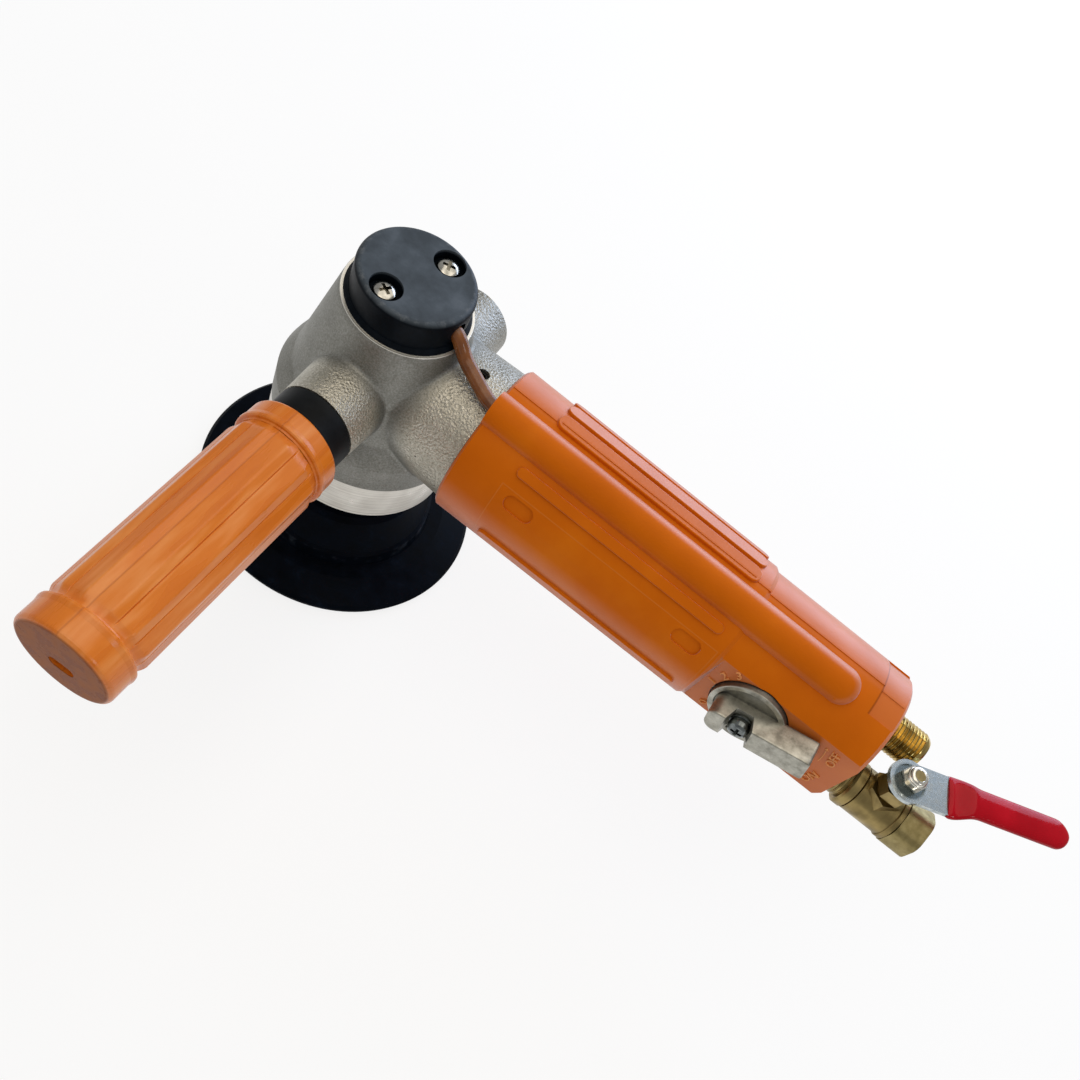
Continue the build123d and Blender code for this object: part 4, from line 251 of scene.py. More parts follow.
def turned_metal(name, dark, light, roughness, axis, centre, pitch=0.9, stain=0.25):
    # bar stock turned on a lathe: rings round the axis, drawn coarser than real feed marks so that they
    # show, bright crests, faint stains from handling
    material, tree, place = blank(name)
    moved = node(tree, "VectorMath", [place, [c * MM for c in centre]], operation="SUBTRACT")
    along = node(tree, "SeparateXYZ", [moved]).outputs[axis]
    travel = node(tree, "Math", [along, radius_about(tree, moved, axis)], operation="ADD")
    feed = {"W": travel, "Scale": per_mm(pitch), "Detail": 3.0, "Roughness": 0.7}
    rings = node(tree, "TexNoise", feed, noise_dimensions="1D")
    stains = node(tree, "TexNoise", {"Vector": place, "Scale": per_mm(6.0), "Detail": 4.0})
    mixed = node(tree, "Mix", {SHARE: stain, FIRST: rings, SECOND: stains}, data_type="FLOAT")
    skin = node(tree, "ValToRGB", [mixed], [(0.36, dark), (0.62, light)])
    rough = node(tree, "MapRange", [stains, 0.3, 0.7, roughness + 0.1, roughness - 0.04])
    relief = node(tree, "Bump", {"Height": rings, "Strength": 0.25, "Distance": 0.06 * MM})
    return surfaced(material, skin, rough, relief, Metallic=1.0)


def moulded_orange_rubber():
    # nitrile rubber from a spark-eroded mould: satin orange, a pale bloom where it turns away, and a fine
    # leathery grain that is drawn coarser than it is so that it shows
    material, tree, place = blank("moulded_orange_rubber")
    facing = node(tree, "LayerWeight", {"Blend": 0.5}).outputs["Facing"]
    gloss = node(tree, "MapRange", [facing, 0.25, 0.62, 0.05, 1.0])
    clouds = node(tree, "TexNoise", {"Vector": place, "Scale": per_mm(24), "Detail": 4.0})
    grain = node(tree, "TexNoise", {"Vector": place, "Scale": per_mm(0.9), "Detail": 2.0})
    skin = node(tree, "ValToRGB", [clouds], [(0.30, "#C46006"), (0.55, "#CC6608"), (0.75, "#D4700E")])
    # the side panel has a faint raised border line
    parts = node(tree, "SeparateXYZ", [place]).outputs
    side = node(tree, "Math", [parts["Y"], -1.0], operation="MULTIPLY")
    lift = node(tree, "Math", [parts["Z"], MOTOR_AXIS_Z * MM], operation="SUBTRACT")
    turn = node(tree, "Math", [side, lift], operation="ARCTAN2")
    off_turn = node(tree, "Math", [turn, PANEL_TURN], operation="SUBTRACT")
    arc = node(tree, "Math", [off_turn], operation="ABSOLUTE")
    arc_mm = node(tree, "Math", [arc, PANEL_R, -PANEL_HALF_ARC], operation="MULTIPLY_ADD")
    off_x = node(tree, "Math", [parts["X"], PANEL_X * MM], operation="SUBTRACT")
    run = node(tree, "Math", [off_x], operation="ABSOLUTE")
    run_mm = node(tree, "Math", [run, 1 / MM, -PANEL_HALF_RUN], operation="MULTIPLY_ADD")
    edge = node(tree, "Math", [arc_mm, run_mm], operation="MAXIMUM")
    gap = node(tree, "Math", [edge], operation="ABSOLUTE")
    border = node(tree, "MapRange", [gap, 0.06, 0.26, 0.6, 0.0])
    # the flat round the throttle has a coarser mould grain, so it looks greyer
    flat_from, flat_to = (DIAL_FLAT_Y + 0.1) * MM, (DIAL_FLAT_Y - 0.1) * MM
    flat = node(tree, "MapRange", [parts["Y"], flat_from, flat_to, 0.0, 0.4])
    fade_from, fade_to = (DIAL_FROM_X + 14.0) * MM, (DIAL_FROM_X + 38.0) * MM
    behind = node(tree, "MapRange", [parts["X"], fade_from, fade_to, 1.0, 0.25])
    beyond = node(tree, "Math", [parts["X"], DIAL_FROM_X * MM], operation="GREATER_THAN")
    reach = node(tree, "Math", [behind, beyond], operation="MULTIPLY")
    dull = node(tree, "Math", [flat, reach], operation="MULTIPLY")
    toned = node(tree, "Mix", {SHARE: dull, UNDER: skin, OVER: "#A8775A"}, data_type="RGBA")
    lined = node(tree, "Mix", {SHARE: border, UNDER: toned, OVER: "#CE7630"}, data_type="RGBA")
    # the shallow band at the rear end is painted paler as painted light, and a painted shadow lies along its
    # step
    band_off = node(tree, "Math", [turn, REAR_BAND_TURN], operation="SUBTRACT")
    band_arc = node(tree, "Math", [band_off], operation="ABSOLUTE")
    band = node(tree, "Math", [band_arc, REAR_BAND_HALF], operation="LESS_THAN")
    past = node(tree, "Math", [parts["X"], REAR_BAND_X * MM], operation="SUBTRACT")
    rear = node(tree, "Math", [past, 0.0], operation="GREATER_THAN")
    # painted light: the band is mixed towards a paler orange
    wear_and_light_mask = node(tree, "Math", [rear, band], operation="MULTIPLY")
    band_light = node(tree, "Math", [wear_and_light_mask, 0.35], operation="MULTIPLY")
    step = node(tree, "Math", [past], operation="ABSOLUTE")
    corner = node(tree, "MapRange", [step, 0.15 * MM, 0.55 * MM, 0.65, 0.0])
    # painted shadow: a dark line along the band's step
    step_shadow = node(tree, "Math", [corner, band], operation="MULTIPLY")
    wear_and_light_tone = node(tree, "Mix", {SHARE: band_light, UNDER: lined, OVER: "#CC7A50"}, data_type="RGBA")
    band_and_step_painted = node(tree, "Mix", {SHARE: step_shadow, UNDER: wear_and_light_tone, OVER: "#7E380C"}, data_type="RGBA")
    height = node(tree, "Math", [border, 1.5, grain], operation="MULTIPLY_ADD")
    rough = node(tree, "MapRange", [clouds, 0.3, 0.7, 0.50, 0.38])
    relief = node(tree, "Bump", {"Height": height, "Strength": 0.5, "Distance": 0.08 * MM})
    bloom = {"Sheen_Weight": 0.35, "Sheen_Roughness": 0.32, "Sheen_Tint": "#D4E2FF"}
    return surfaced(material, band_and_step_painted, rough, relief, IOR=1.5, Specular_IOR_Level=gloss, **bloom)


def side_grip_rubber():
    # the same rubber from a two-part mould: glossier, drawn along the grip, its parting line on top sunk a
    # little and painted darker as painted shade of the groove, and a darker, duller end face
    material, tree, place = blank("side_grip_rubber")
    drawn = node(tree, "VectorMath", [place, [1.0, 0.12, 1.0]], operation="MULTIPLY")
    streaks = node(tree, "TexNoise", {"Vector": drawn, "Scale": per_mm(4.0), "Detail": 4.0})
    grain = node(tree, "TexNoise", {"Vector": place, "Scale": per_mm(1.2), "Detail": 2.0})
    skin = node(tree, "ValToRGB", [streaks], [(0.30, "#CE6A12"), (0.52, "#D8761A"), (0.72, "#E49048")])
    turn = radians(MOULD_TURN)
    parting = [cos(turn), 0.0, sin(turn)]
    split = node(tree, "VectorMath", [place, parting], operation="DOT_PRODUCT")
    centred = node(tree, "Math", [split, GRIP_AXIS_Z * sin(turn) * MM], operation="SUBTRACT")
    away = node(tree, "Math", [centred], operation="ABSOLUTE")
    # painted shade: a darker line along the parting seam
    seam = node(tree, "MapRange", [away, 0.1 * MM, 0.35 * MM, 0.45, 0.0])
    seam_shaded = node(tree, "Mix", {SHARE: seam, UNDER: skin, OVER: "#A8500F"}, data_type="RGBA")
    along = node(tree, "SeparateXYZ", [place]).outputs["Y"]
    # the end face is mixed to a darker, duller orange
    end = node(tree, "MapRange", [along, (GRIP_END_Y + 0.05) * MM, (GRIP_END_Y + 0.35) * MM, 1.0, 0.0])
    cut = node(tree, "ValToRGB", [streaks], [(0.35, "#864414"), (0.65, "#9C5A28")])
    ended = node(tree, "Mix", {SHARE: end, UNDER: seam_shaded, OVER: cut}, data_type="RGBA")
    rough = node(tree, "MapRange", [streaks, 0.3, 0.7, 0.22, 0.36])
    height = node(tree, "Math", [seam, -1.6, grain], operation="MULTIPLY_ADD")
    relief = node(tree, "Bump", {"Height": height, "Strength": 0.2, "Distance": 0.08 * MM})
    gloss = node(tree, "MapRange", [end, 0.0, 1.0, 0.45, 0.03])
    bloom = {"Sheen_Weight": 0.03, "Sheen_Roughness": 0.4, "Sheen_Tint": "#EEF2FF"}
    return surfaced(material, ended, rough, relief, IOR=1.5, Specular_IOR_Level=gloss, **bloom)


def black_acetal():
    # machined acetal: deep black sides, a face painted grey as a painted reflection of the bright room
    # above, mottled by fine scuffs, its edge rubbed a little
    material, tree, place = blank("black_acetal")
    height = node(tree, "SeparateXYZ", [place]).outputs["Z"]
    radius = radius_about(tree, place, "Z")
    rim = node(tree, "MapRange", [radius, CAP_EDGE_R * MM, (CAP_EDGE_R + 0.7) * MM])
    top = node(tree, "MapRange", [height, (CAP_FACE_Z - 1.1) * MM, (CAP_FACE_Z - 0.2) * MM])
    corner = node(tree, "Math", [rim, top], operation="MULTIPLY")
    rubs = node(tree, "TexNoise", {"Vector": place, "Scale": per_mm(2.4), "Detail": 5.0, "Roughness": 0.7})
    wear_and_light_mask = node(tree, "MapRange", [rubs, 0.48, 0.66, 0.0, 0.28])
    edge = node(tree, "Math", [corner, wear_and_light_mask], operation="MULTIPLY")
    scuffs = node(tree, "TexNoise", {"Vector": place, "Scale": per_mm(9.0), "Detail": 6.0, "Roughness": 0.6})
    # painted reflection: the face is much paler than the sides
    face = node(tree, "ValToRGB", [scuffs], [(0.38, "#40474E"), (0.55, "#4A525A"), (0.75, "#59616A")])
    side = node(tree, "ValToRGB", [rubs], [(0.35, "#050A10"), (0.70, "#0C131B")])
    skin = node(tree, "Mix", {SHARE: top, UNDER: side, OVER: face}, data_type="RGBA")
    wear_and_light_tone = node(tree, "Mix", {SHARE: edge, UNDER: skin, OVER: "#84878A"}, data_type="RGBA")
    rough = node(tree, "MapRange", [scuffs, 0.35, 0.7, 0.36, 0.54])
    relief = node(tree, "Bump", {"Height": rubs, "Strength": 0.12, "Distance": 0.05 * MM})
    return surfaced(material, wear_and_light_tone, rough, relief, IOR=1.48, Specular_IOR_Level=0.06)


def moulded_nylon():
    # glass-filled nylon of the handle collar: deep black, matt, faint moulded grain
    material, tree, place = blank("moulded_black_nylon")
    grain = node(tree, "TexNoise", {"Vector": place, "Scale": per_mm(0.8), "Detail": 3.0})
    patches = node(tree, "TexNoise", {"Vector": place, "Scale": per_mm(8.0), "Detail": 3.0})
    skin = node(tree, "ValToRGB", [patches], [(0.35, "#0B0D0F"), (0.70, "#191C1F")])
    rough = node(tree, "MapRange", [patches, 0.3, 0.7, 0.52, 0.40])
    relief = node(tree, "Bump", {"Height": grain, "Strength": 0.25, "Distance": 0.06 * MM})
    return surfaced(material, skin, rough, relief, IOR=1.53, Specular_IOR_Level=0.09)


def pad_rubber():
    # moulded natural rubber: blue black, satin, concentric mould lines and a pale patchy line along its step
    material, tree, place = blank("moulded_pad_rubber")
    radius = radius_about(tree, place, "Z")
    rings = node(tree, "TexNoise", {"W": radius, "Scale": per_mm(1.6), "Detail": 3.0}, noise_dimensions="1D")
    dust = node(tree, "TexNoise", {"Vector": place, "Scale": per_mm(7.0), "Detail": 6.0, "Roughness": 0.7})
    skin = node(tree, "ValToRGB", [dust], [(0.35, "#03060B"), (0.60, "#070D16"), (0.80, "#111C2A")])
    off = node(tree, "Math", [radius, PAD_STEP_R * MM], operation="SUBTRACT")
    near = node(tree, "Math", [off], operation="ABSOLUTE")
    line = node(tree, "MapRange", [near, 0.1 * MM, 0.5 * MM, 1.0, 0.0])
    patchy = node(tree, "MapRange", [dust, 0.52, 0.66, 0.0, 0.16])
    step_mark = node(tree, "Math", [line, patchy], operation="MULTIPLY")
    step_marked = node(tree, "Mix", {SHARE: step_mark, UNDER: skin, OVER: "#6E767F"}, data_type="RGBA")
    rough = node(tree, "MapRange", [dust, 0.3, 0.7, 0.36, 0.55])
    relief = node(tree, "Bump", {"Height": rings, "Strength": 0.12, "Distance": 0.06 * MM})
    return surfaced(material, step_marked, rough, relief, IOR=1.5, Specular_IOR_Level=0.03)


def tumbled_zinc():
    # die-cast zinc, tumbled: proud faces rubbed pale and blotched, the sunk dial face painted dark as
    # painted shade and reflection
    material, tree, place = blank("tumbled_zinc_casting")
    blots = node(tree, "TexNoise", {"Vector": place, "Scale": per_mm(3.5), "Detail": 5.0, "Roughness": 0.65})
    fine = node(tree, "TexNoise", {"Vector": place, "Scale": per_mm(0.8), "Detail": 3.0})
    wear_and_light_tone = node(tree, "ValToRGB", [blots], [(0.32, "#86847A"), (0.48, "#A3A196"), (0.68, "#BBB9AE")])
    depth = node(tree, "SeparateXYZ", [place]).outputs["Y"]
    # painted shade and reflection: the sunk face is mixed towards dark grey
    sunk = node(tree, "MapRange", [depth, DIAL_SUNK_Y * MM, (DIAL_SUNK_Y + 0.3) * MM, 0.0, 0.55])
    skin = node(tree, "Mix", {SHARE: sunk, UNDER: wear_and_light_tone, OVER: "#525655"}, data_type="RGBA")
    rough = node(tree, "MapRange", [blots, 0.3, 0.7, 0.46, 0.34])
    relief = node(tree, "Bump", {"Height": fine, "Strength": 0.3, "Distance": 0.06 * MM})
    return surfaced(material, skin, rough, relief, Metallic=0.9)


def pressed_zinc():
    # pressed steel with bright zinc plate: pale blue white, faintly spangled, with painted shade of the dish
    # and the nut's shadow round the nut
    material, tree, place = blank("bright_zinc_plate")
    spangle = node(tree, "TexNoise", {"Vector": place, "Scale": per_mm(1.8), "Detail": 4.0})
    skin = node(tree, "ValToRGB", [spangle], [(0.3, "#9AA3A5"), (0.5, "#B4BCBD"), (0.7, "#CCD2D1")])
    moved = node(tree, "VectorMath", [place, [STEM_X * MM, STEM_Y * MM, 0.0]], operation="SUBTRACT")
    radius = radius_about(tree, moved, "Z")
    # painted shade: darker within the dish round the nut
    nut_shade = node(tree, "MapRange", [radius, LEVER_DISH_R * MM, (LEVER_DISH_R + 1.0) * MM, 0.75, 0.0])
    dark = node(tree, "Mix", {SHARE: nut_shade, UNDER: skin, OVER: "#4A5A5E"}, data_type="RGBA")
    rough = node(tree, "MapRange", [spangle, 0.3, 0.7, 0.32, 0.2])
    relief = node(tree, "Bump", {"Height": spangle, "Strength": 0.2, "Distance": 0.05 * MM})
    return surfaced(material, dark, rough, relief, Metallic=0.95)


def mottled(name, stops, rough, spread, patch, grain, depth, strength=0.2, **others):
    # shared build of plain finishes: slow colour patches under a finer surface grain, both sized in mm
    material, tree, place = blank(name)
    patches = node(tree, "TexNoise", {"Vector": place, "Scale": per_mm(patch), "Detail": 4.0})
    fine = node(tree, "TexNoise", {"Vector": place, "Scale": per_mm(grain), "Detail": 3.0})
    skin = node(tree, "ValToRGB", [patches], stops)
    dull = node(tree, "MapRange", [fine, 0.3, 0.7, rough - spread, rough + spread])
    relief = node(tree, "Bump", {"Height": fine, "Strength": strength, "Distance": depth * MM})
    return surfaced(material, skin, dull, relief, **others)


spindle_axis = ("Z", ORIGIN)
motor_axis = ("X", (0, 0, MOTOR_AXIS_Z))
nipple_axis = ("X", NIPPLE_CENTRE)
valve_axis = ("X", VALVE_CENTRE)

casting = sand_cast_aluminium()
sleeve_rubber = moulded_orange_rubber()
grip_rubber = side_grip_rubber()
cap_acetal = black_acetal()
collar_nylon = moulded_nylon()
disc_rubber = pad_rubber()
lever_zinc = tumbled_zinc()
plate_zinc = pressed_zinc()
ring_metal = turned_metal("turned_aluminium", "#BDB8AF", "#DAD6CD", 0.30, *spindle_axis, pitch=0.7)
plate_metal = turned_metal("turned_end_plate", "#9A9890", "#C4C1B8", 0.34, *motor_axis)
spindle_steel = turned_metal("ground_spindle_steel", "#8A8A8A", "#BDBDBB", 0.24, *spindle_axis, pitch=0.6)
motor_steel = turned_metal("ground_motor_steel", "#84858A", "#B4B5B8", 0.26, *motor_axis, pitch=0.6)
nipple_tones = ("#8E7846", "#D2B670")
nipple_brass = turned_metal("turned_nipple_brass", *nipple_tones, 0.14, *nipple_axis, pitch=1.1, stain=0.7)
valve_tones = ("#7A6A44", "#9E8A5A")
valve_brass = turned_metal("turned_valve_brass", *valve_tones, 0.34, *valve_axis, pitch=1.3, stain=0.85)

# sawn and milled hexagon stock: dull, greenish, unpolished
brass_tones = [(0.3, "#83754C"), (0.6, "#9C8D60"), (0.8, "#AD9F72")]
brass_skin = {"rough": 0.46, "spread": 0.06, "patch": 2.4, "grain": 0.7, "depth": 0.04}
milled_brass = mottled("milled_brass", brass_tones, **brass_skin, Metallic=1.0)
# tops of the moulded marks, painted paler as a painted highlight on the raised marks
mark_tones = [(0.3, "#D88C50"), (0.7, "#E4A068")]
mark_skin = {"rough": 0.5, "spread": 0.05, "patch": 3.0, "grain": 0.6, "depth": 0.03}
lit_mark_rubber = mottled("lit_orange_rubber", mark_tones, **mark_skin, IOR=1.5, Specular_IOR_Level=0.1)
# zinc plate of the lever's nut: bright, with grey handling marks
nut_tones = [(0.3, "#C4C1B6"), (0.6, "#ECE8DC")]
nut_skin = {"rough": 0.16, "spread": 0.06, "patch": 2.0, "grain": 0.5, "depth": 0.03}
screw_zinc = mottled("zinc_plated_screw", nut_tones, **nut_skin, Metallic=1.0)
# zinc plate of the cap's screws, which sit in their pits, painted greyer as painted reflection of the dark
# pit walls
pit_tones = [(0.3, "#8E8C84"), (0.6, "#C6C3BA")]
pit_skin = {"rough": 0.18, "spread": 0.06, "patch": 2.0, "grain": 0.5, "depth": 0.03}
cap_screw_zinc = mottled("shaded_zinc_screw", pit_tones, **pit_skin, Metallic=1.0)
# steel of the dial's screw, dull and oily from the exhaust
oily_tones = [(0.3, "#4E5254"), (0.6, "#7E8382")]
oily_skin = {"rough": 0.22, "spread": 0.05, "patch": 1.5, "grain": 0.6, "depth": 0.02}
oily_screw = mottled("oiled_screw_steel", oily_tones, **oily_skin, Metallic=1.0)
# steel blackened in hot salts: near black, with a soft shine
black_tones = [(0.3, "#0E0E0F"), (0.7, "#1D1D1F")]
black_skin = {"rough": 0.42, "spread": 0.08, "patch": 2.0, "grain": 0.6, "depth": 0.03}
black_oxide = mottled("black_oxide_steel", black_tones, **black_skin, Metallic=0.7)
# dipped vinyl: deep glossy red with the slow ripples of the dip
vinyl_tones = [(0.3, "#A00214"), (0.6, "#AE0418"), (0.8, "#BC0C20")]
vinyl_skin = {"rough": 0.12, "spread": 0.03, "patch": 12.0, "grain": 3.0, "depth": 0.10}
vinyl_gloss = {"IOR": 1.52, "Specular_IOR_Level": 0.08, "Coat_Weight": 0.15, "Coat_Roughness": 0.06}
dipped_vinyl = mottled("dipped_red_vinyl", vinyl_tones, **vinyl_skin, **vinyl_gloss)
# extruded nylon tube: brown and smooth, with a soft shine
tube_tones = [(0.3, "#63391C"), (0.55, "#784722"), (0.8, "#8C5A30")]
tube_skin = {"rough": 0.18, "spread": 0.04, "patch": 5.0, "grain": 0.8, "depth": 0.03}
tube_nylon = mottled("extruded_brown_nylon", tube_tones, **tube_skin, IOR=1.53, Specular_IOR_Level=0.35)
# moulded nitrile of the seals: black and matt
seal_tones = [(0.3, "#141414"), (0.7, "#212121")]
seal_skin = {"rough": 0.5, "spread": 0.08, "patch": 3.0, "grain": 0.6, "depth": 0.03}
seal_rubber = mottled("nitrile_seal_rubber", seal_tones, **seal_skin, IOR=1.5)
# woven hook pile of the pad's face: dark, with a rough nap drawn coarser than the hooks so that it shows
pile_tones = [(0.35, "#101114"), (0.65, "#23252A")]
pile_skin = {"rough": 0.85, "spread": 0.08, "patch": 3.0, "grain": 0.9, "depth": 0.4, "strength": 0.9}
hook_pile = mottled("woven_hook_pile", pile_tones, **pile_skin, IOR=1.45)
# turned fluoropolymer of the valve's seats: waxy white
seat_tones = [(0.3, "#D8D6D0"), (0.7, "#ECEAE4")]
seat_skin = {"rough": 0.4, "spread": 0.05, "patch": 3.0, "grain": 0.7, "depth": 0.02}
white_ptfe = mottled("turned_ptfe", seat_tones, **seat_skin, IOR=1.38)
# cloth-filled phenolic of the vanes: brown, with the cloth's mottle
vane_tones = [(0.3, "#5C3318"), (0.7, "#85502B")]
vane_skin = {"rough": 0.5, "spread": 0.06, "patch": 2.0, "grain": 0.6, "depth": 0.04}
vane_phenolic = mottled("phenolic_cloth", vane_tones, **vane_skin, IOR=1.55)
# sintered bronze of the silencer: pressed beads, open pores
bronze_tones = [(0.3, "#6B5226"), (0.7, "#A88446")]
bronze_skin = {"rough": 0.5, "spread": 0.1, "patch": 1.2, "grain": 0.7, "depth": 0.2, "strength": 0.8}
sintered_bronze = mottled("sintered_bronze", bronze_tones, **bronze_skin, Metallic=1.0)

races = "lower_bearing_outer_race upper_bearing_outer_race lower_bearing_inner_race upper_bearing_inner_race"
motor_parts = "motor_housing motor_cylinder cylinder_dowel side_handle_stud"
rotor_parts = "rotor rotor_bearing_outer_races rotor_bearing_inner_races"
pinion_parts = "pinion_bearing_outer_race pinion_bearing_inner_race pinion_bearing_retainer bevel_pinion"
valve_parts = "water_valve_body water_valve_end water_valve_packing_nut throttle_spool valve_stem valve_ball"
finishes = (
    (casting, "gear_head_housing backhead"),
    (ring_metal, "spindle_bearing_cap"),
    (plate_metal, "front_end_plate rear_end_plate"),
    (spindle_steel, races),
    (spindle_steel, "spindle gear_key driven_bevel_gear gear_lock_nut pad_insert"),
    (motor_steel, pinion_parts),
    (motor_steel, motor_parts),
    (motor_steel, rotor_parts),
    (vane_phenolic, "rotor_vanes"),
    (seal_rubber, "spindle_oil_seal water_seal water_cap_gasket throttle_o_rings"),
    (cap_acetal, "water_cap"),
    (cap_screw_zinc, "water_cap_screws"),
    (oily_screw, "throttle_lever_screw"),
    (black_oxide, "neck_set_screw"),
    (tube_nylon, "water_tube"),
    (sintered_bronze, "exhaust_silencer"),
    (sleeve_rubber, "grip_sleeve"),
    (grip_rubber, "side_handle_grip"),
    (collar_nylon, "side_handle_collar"),
    (nipple_brass, "air_inlet_nipple"),
    (valve_brass, valve_parts),
    (white_ptfe, "water_valve_seats"),
    (disc_rubber, "backing_pad"),
    (hook_pile, "hook_face"),
    (lever_zinc, "throttle_lever"),
    (plate_zinc, "valve_lever_plate"),
    (dipped_vinyl, "valve_lever_grip"),
    (screw_zinc, "valve_lever_nut"),
)
for finish, names in finishes:
    for name in names.split():
        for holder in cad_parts[name].material_slots:
            holder.material = finish


def once(parts):
    """These parts of a mesh, each once and in a fixed order."""
    return list(dict.fromkeys(parts))


def close_seams(bm):
    """Merges the seams of a shape and points its faces outwards."""
    bmesh.ops.remove_doubles(bm, verts=bm.verts, dist=MERGE)
    bmesh.ops.recalc_face_normals(bm, faces=bm.faces)


def to_mesh(bm, name):
    """Mesh of a bmesh, which is used up."""
    mesh = bpy.data.meshes.new(name)
    bm.to_mesh(mesh)
    bm.free()
    return mesh


def place_object(name, data):
    """New object in the scene."""
    made = bpy.data.objects.new(name, data)
    bpy.context.scene.collection.objects.link(made)
    return made


def final_mesh(shape):
    """Mesh of an object with its modifiers or its text, and the object is removed."""
    bpy.context.view_layer.update()
    mesh = bpy.data.meshes.new_from_object(shape.evaluated_get(bpy.context.evaluated_depsgraph_get()))
    bpy.data.objects.remove(shape)
    return mesh


def cut_mesh(mesh, cutter):
    """New mesh of a closed shape with another object cut out of it; both are used up."""
    shape = place_object("uncut_shape", mesh)
    cut = shape.modifiers.new("cut", "BOOLEAN")
    cut.operation = "DIFFERENCE"
    cut.solver = "EXACT"
    cut.use_self = True
    cut.object = cutter
    result = final_mesh(shape)
    bpy.data.objects.remove(cutter)
    return result


def add_piece(bm, name, finish, body, crease=35.0):
    """Closes a bmesh into a piece that rides on a body, sharp only at its corners."""
    close_seams(bm)
    for face in bm.faces:
        face.smooth = True
    for edge in bm.edges:
        edge.smooth = len(edge.link_faces) == 2 and edge.calc_face_angle() < radians(crease)
    piece = place_object(name, to_mesh(bm, name))
    piece.data.materials.append(finish)
    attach(piece, body)
    return piece


def ease(share):
    """Smooth step from 0 to 1."""
    t = min(max(share, 0.0), 1.0)
    return t * t * (3 - 2 * t)


def raise_faces(bm, faces, shift):
    """Extrudes faces by a shift in mm and gives their new points."""
    made = bmesh.ops.extrude_face_region(bm, geom=faces)["geom"]
    lifted = [part for part in made if isinstance(part, bmesh.types.BMVert)]
    bmesh.ops.translate(bm, verts=lifted, vec=Vector(shift) * MM)
    return lifted


def skin_loops(bm, loops):
    """Bridges a row of edge loops and closes both ends."""
    for near, far in zip(loops, loops[1:]):
        bmesh.ops.bridge_loops(bm, edges=near + far)
    bmesh.ops.edgeloop_fill(bm, edges=loops[0])
    bmesh.ops.edgeloop_fill(bm, edges=loops[-1])


def spin_profile(bm, profile, axis, centre, steps):
    """Turns an open outline of (along, radius) points, in mm, right round an axis."""
    side = UP if abs(axis.z) < 0.5 else ALONG
    points = [bm.verts.new((centre + axis * along + side * radius) * MM) for along, radius in profile]
    edges = [bm.edges.new(pair) for pair in zip(points, points[1:])]
    outline = points + edges
    bmesh.ops.spin(bm, geom=outline, cent=centre * MM, axis=axis, angle=2 * pi, steps=steps, use_merge=True)


def thread_profile(start, stop, crest, depth):
    """Saw of pipe thread flanks between two stations, as (along, radius) points."""
    points = []
    along = start
    while along + PIPE_PITCH <= stop:
        points += [(along + 0.12 * PIPE_PITCH, crest - depth)]
        points += [(along + 0.5 * PIPE_PITCH, crest), (along + 0.62 * PIPE_PITCH, crest)]
        along += PIPE_PITCH
    return points


def hex_collar(bm, across_flats, wall, length, turn, rounding, spot):
    """Hexagon ring along +X with eased corners, from a face at the spot, in mm, in the second finish."""
    known = set(bm.verts)
    corner_r = across_flats / 2 / cos(pi / 6) * MM
    hexagon = bmesh.ops.create_circle(bm, cap_ends=True, segments=6, radius=corner_r)["verts"]
    face = hexagon[0].link_faces[0]
    bmesh.ops.inset_individual(bm, faces=[face], thickness=wall * MM, use_even_offset=True)
    ring = once(f for v in hexagon for f in v.link_faces if f is not face)
    bmesh.ops.delete(bm, geom=[face], context="FACES_ONLY")
    lifted = raise_faces(bm, ring, (0, 0, length))
    outer = [
        edge
        for edge in once(e for v in lifted for e in v.link_edges)
        if all(v.co.xy.length > 0.97 * corner_r for v in edge.verts)
        and abs(edge.verts[0].co.z - edge.verts[1].co.z) > 0.5 * length * MM
    ]
    eased = {"segments": 4, "profile": 0.5, "affect": "EDGES", "material": -1}
    bmesh.ops.bevel(bm, geom=outer, offset=rounding * MM, **eased)
    collar = [v for v in bm.verts if v not in known]
    bmesh.ops.rotate(bm, verts=collar, matrix=Matrix.Rotation(radians(turn), 3, "Z"))
    bmesh.ops.rotate(bm, verts=collar, matrix=Matrix.Rotation(radians(90), 3, "Y"))
    bmesh.ops.translate(bm, verts=collar, vec=spot * MM)
    for part in once(f for v in collar for f in v.link_faces):
        part.material_index = 1


def air_inlet_nipple():
    """Brass nipple with its hex collar, pipe thread and bore."""
    bm = bmesh.new()
    root = SLEEVE_END_X - NIPPLE_SUNK
    collar_end = SLEEVE_END_X + NIPPLE_HEX_LEN
    end = SLEEVE_END_X + NIPPLE_REACH
    core = NIPPLE_R - PIPE_DEPTH
    bore = NIPPLE_BORE_R
    outline = [(root, bore), (root, core), (collar_end + 0.4, core)]
    outline += thread_profile(collar_end + 0.5, end - 0.8, NIPPLE_R, PIPE_DEPTH)
    outline += [(end - 0.7, core), (end, core - 0.5), (end, bore + 0.5), (end - 0.5, bore), (root, bore)]
    spin_profile(bm, outline, ALONG, NIPPLE_CENTRE, steps=64)
    spot = NIPPLE_CENTRE + ALONG * SLEEVE_END_X
    hex_collar(bm, NIPPLE_HEX_AF, wall=2.3, length=NIPPLE_HEX_LEN, turn=108.0, rounding=0.5, spot=spot)
    piece = add_piece(bm, "threaded_air_nipple", nipple_brass, "tool_body")
    piece.data.materials.append(milled_brass)
    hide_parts("air_inlet_nipple")


def water_valve_thread():
    """Pipe thread between the sleeve and the flange of the water valve."""
    bm = bmesh.new()
    start, end = SLEEVE_END_X + 0.1, VALVE_THREAD_END_X - 0.1
    core = VALVE_THREAD_R - 0.4
    thread = thread_profile(start + 0.1, VALVE_THREAD_END_X, VALVE_THREAD_R + 0.25, 0.6)
    spin_profile(bm, [(start, core)] + thread + [(end, core), (start, core)], ALONG, VALVE_CENTRE, steps=64)
    add_piece(bm, "water_valve_thread", valve_brass, "tool_body")


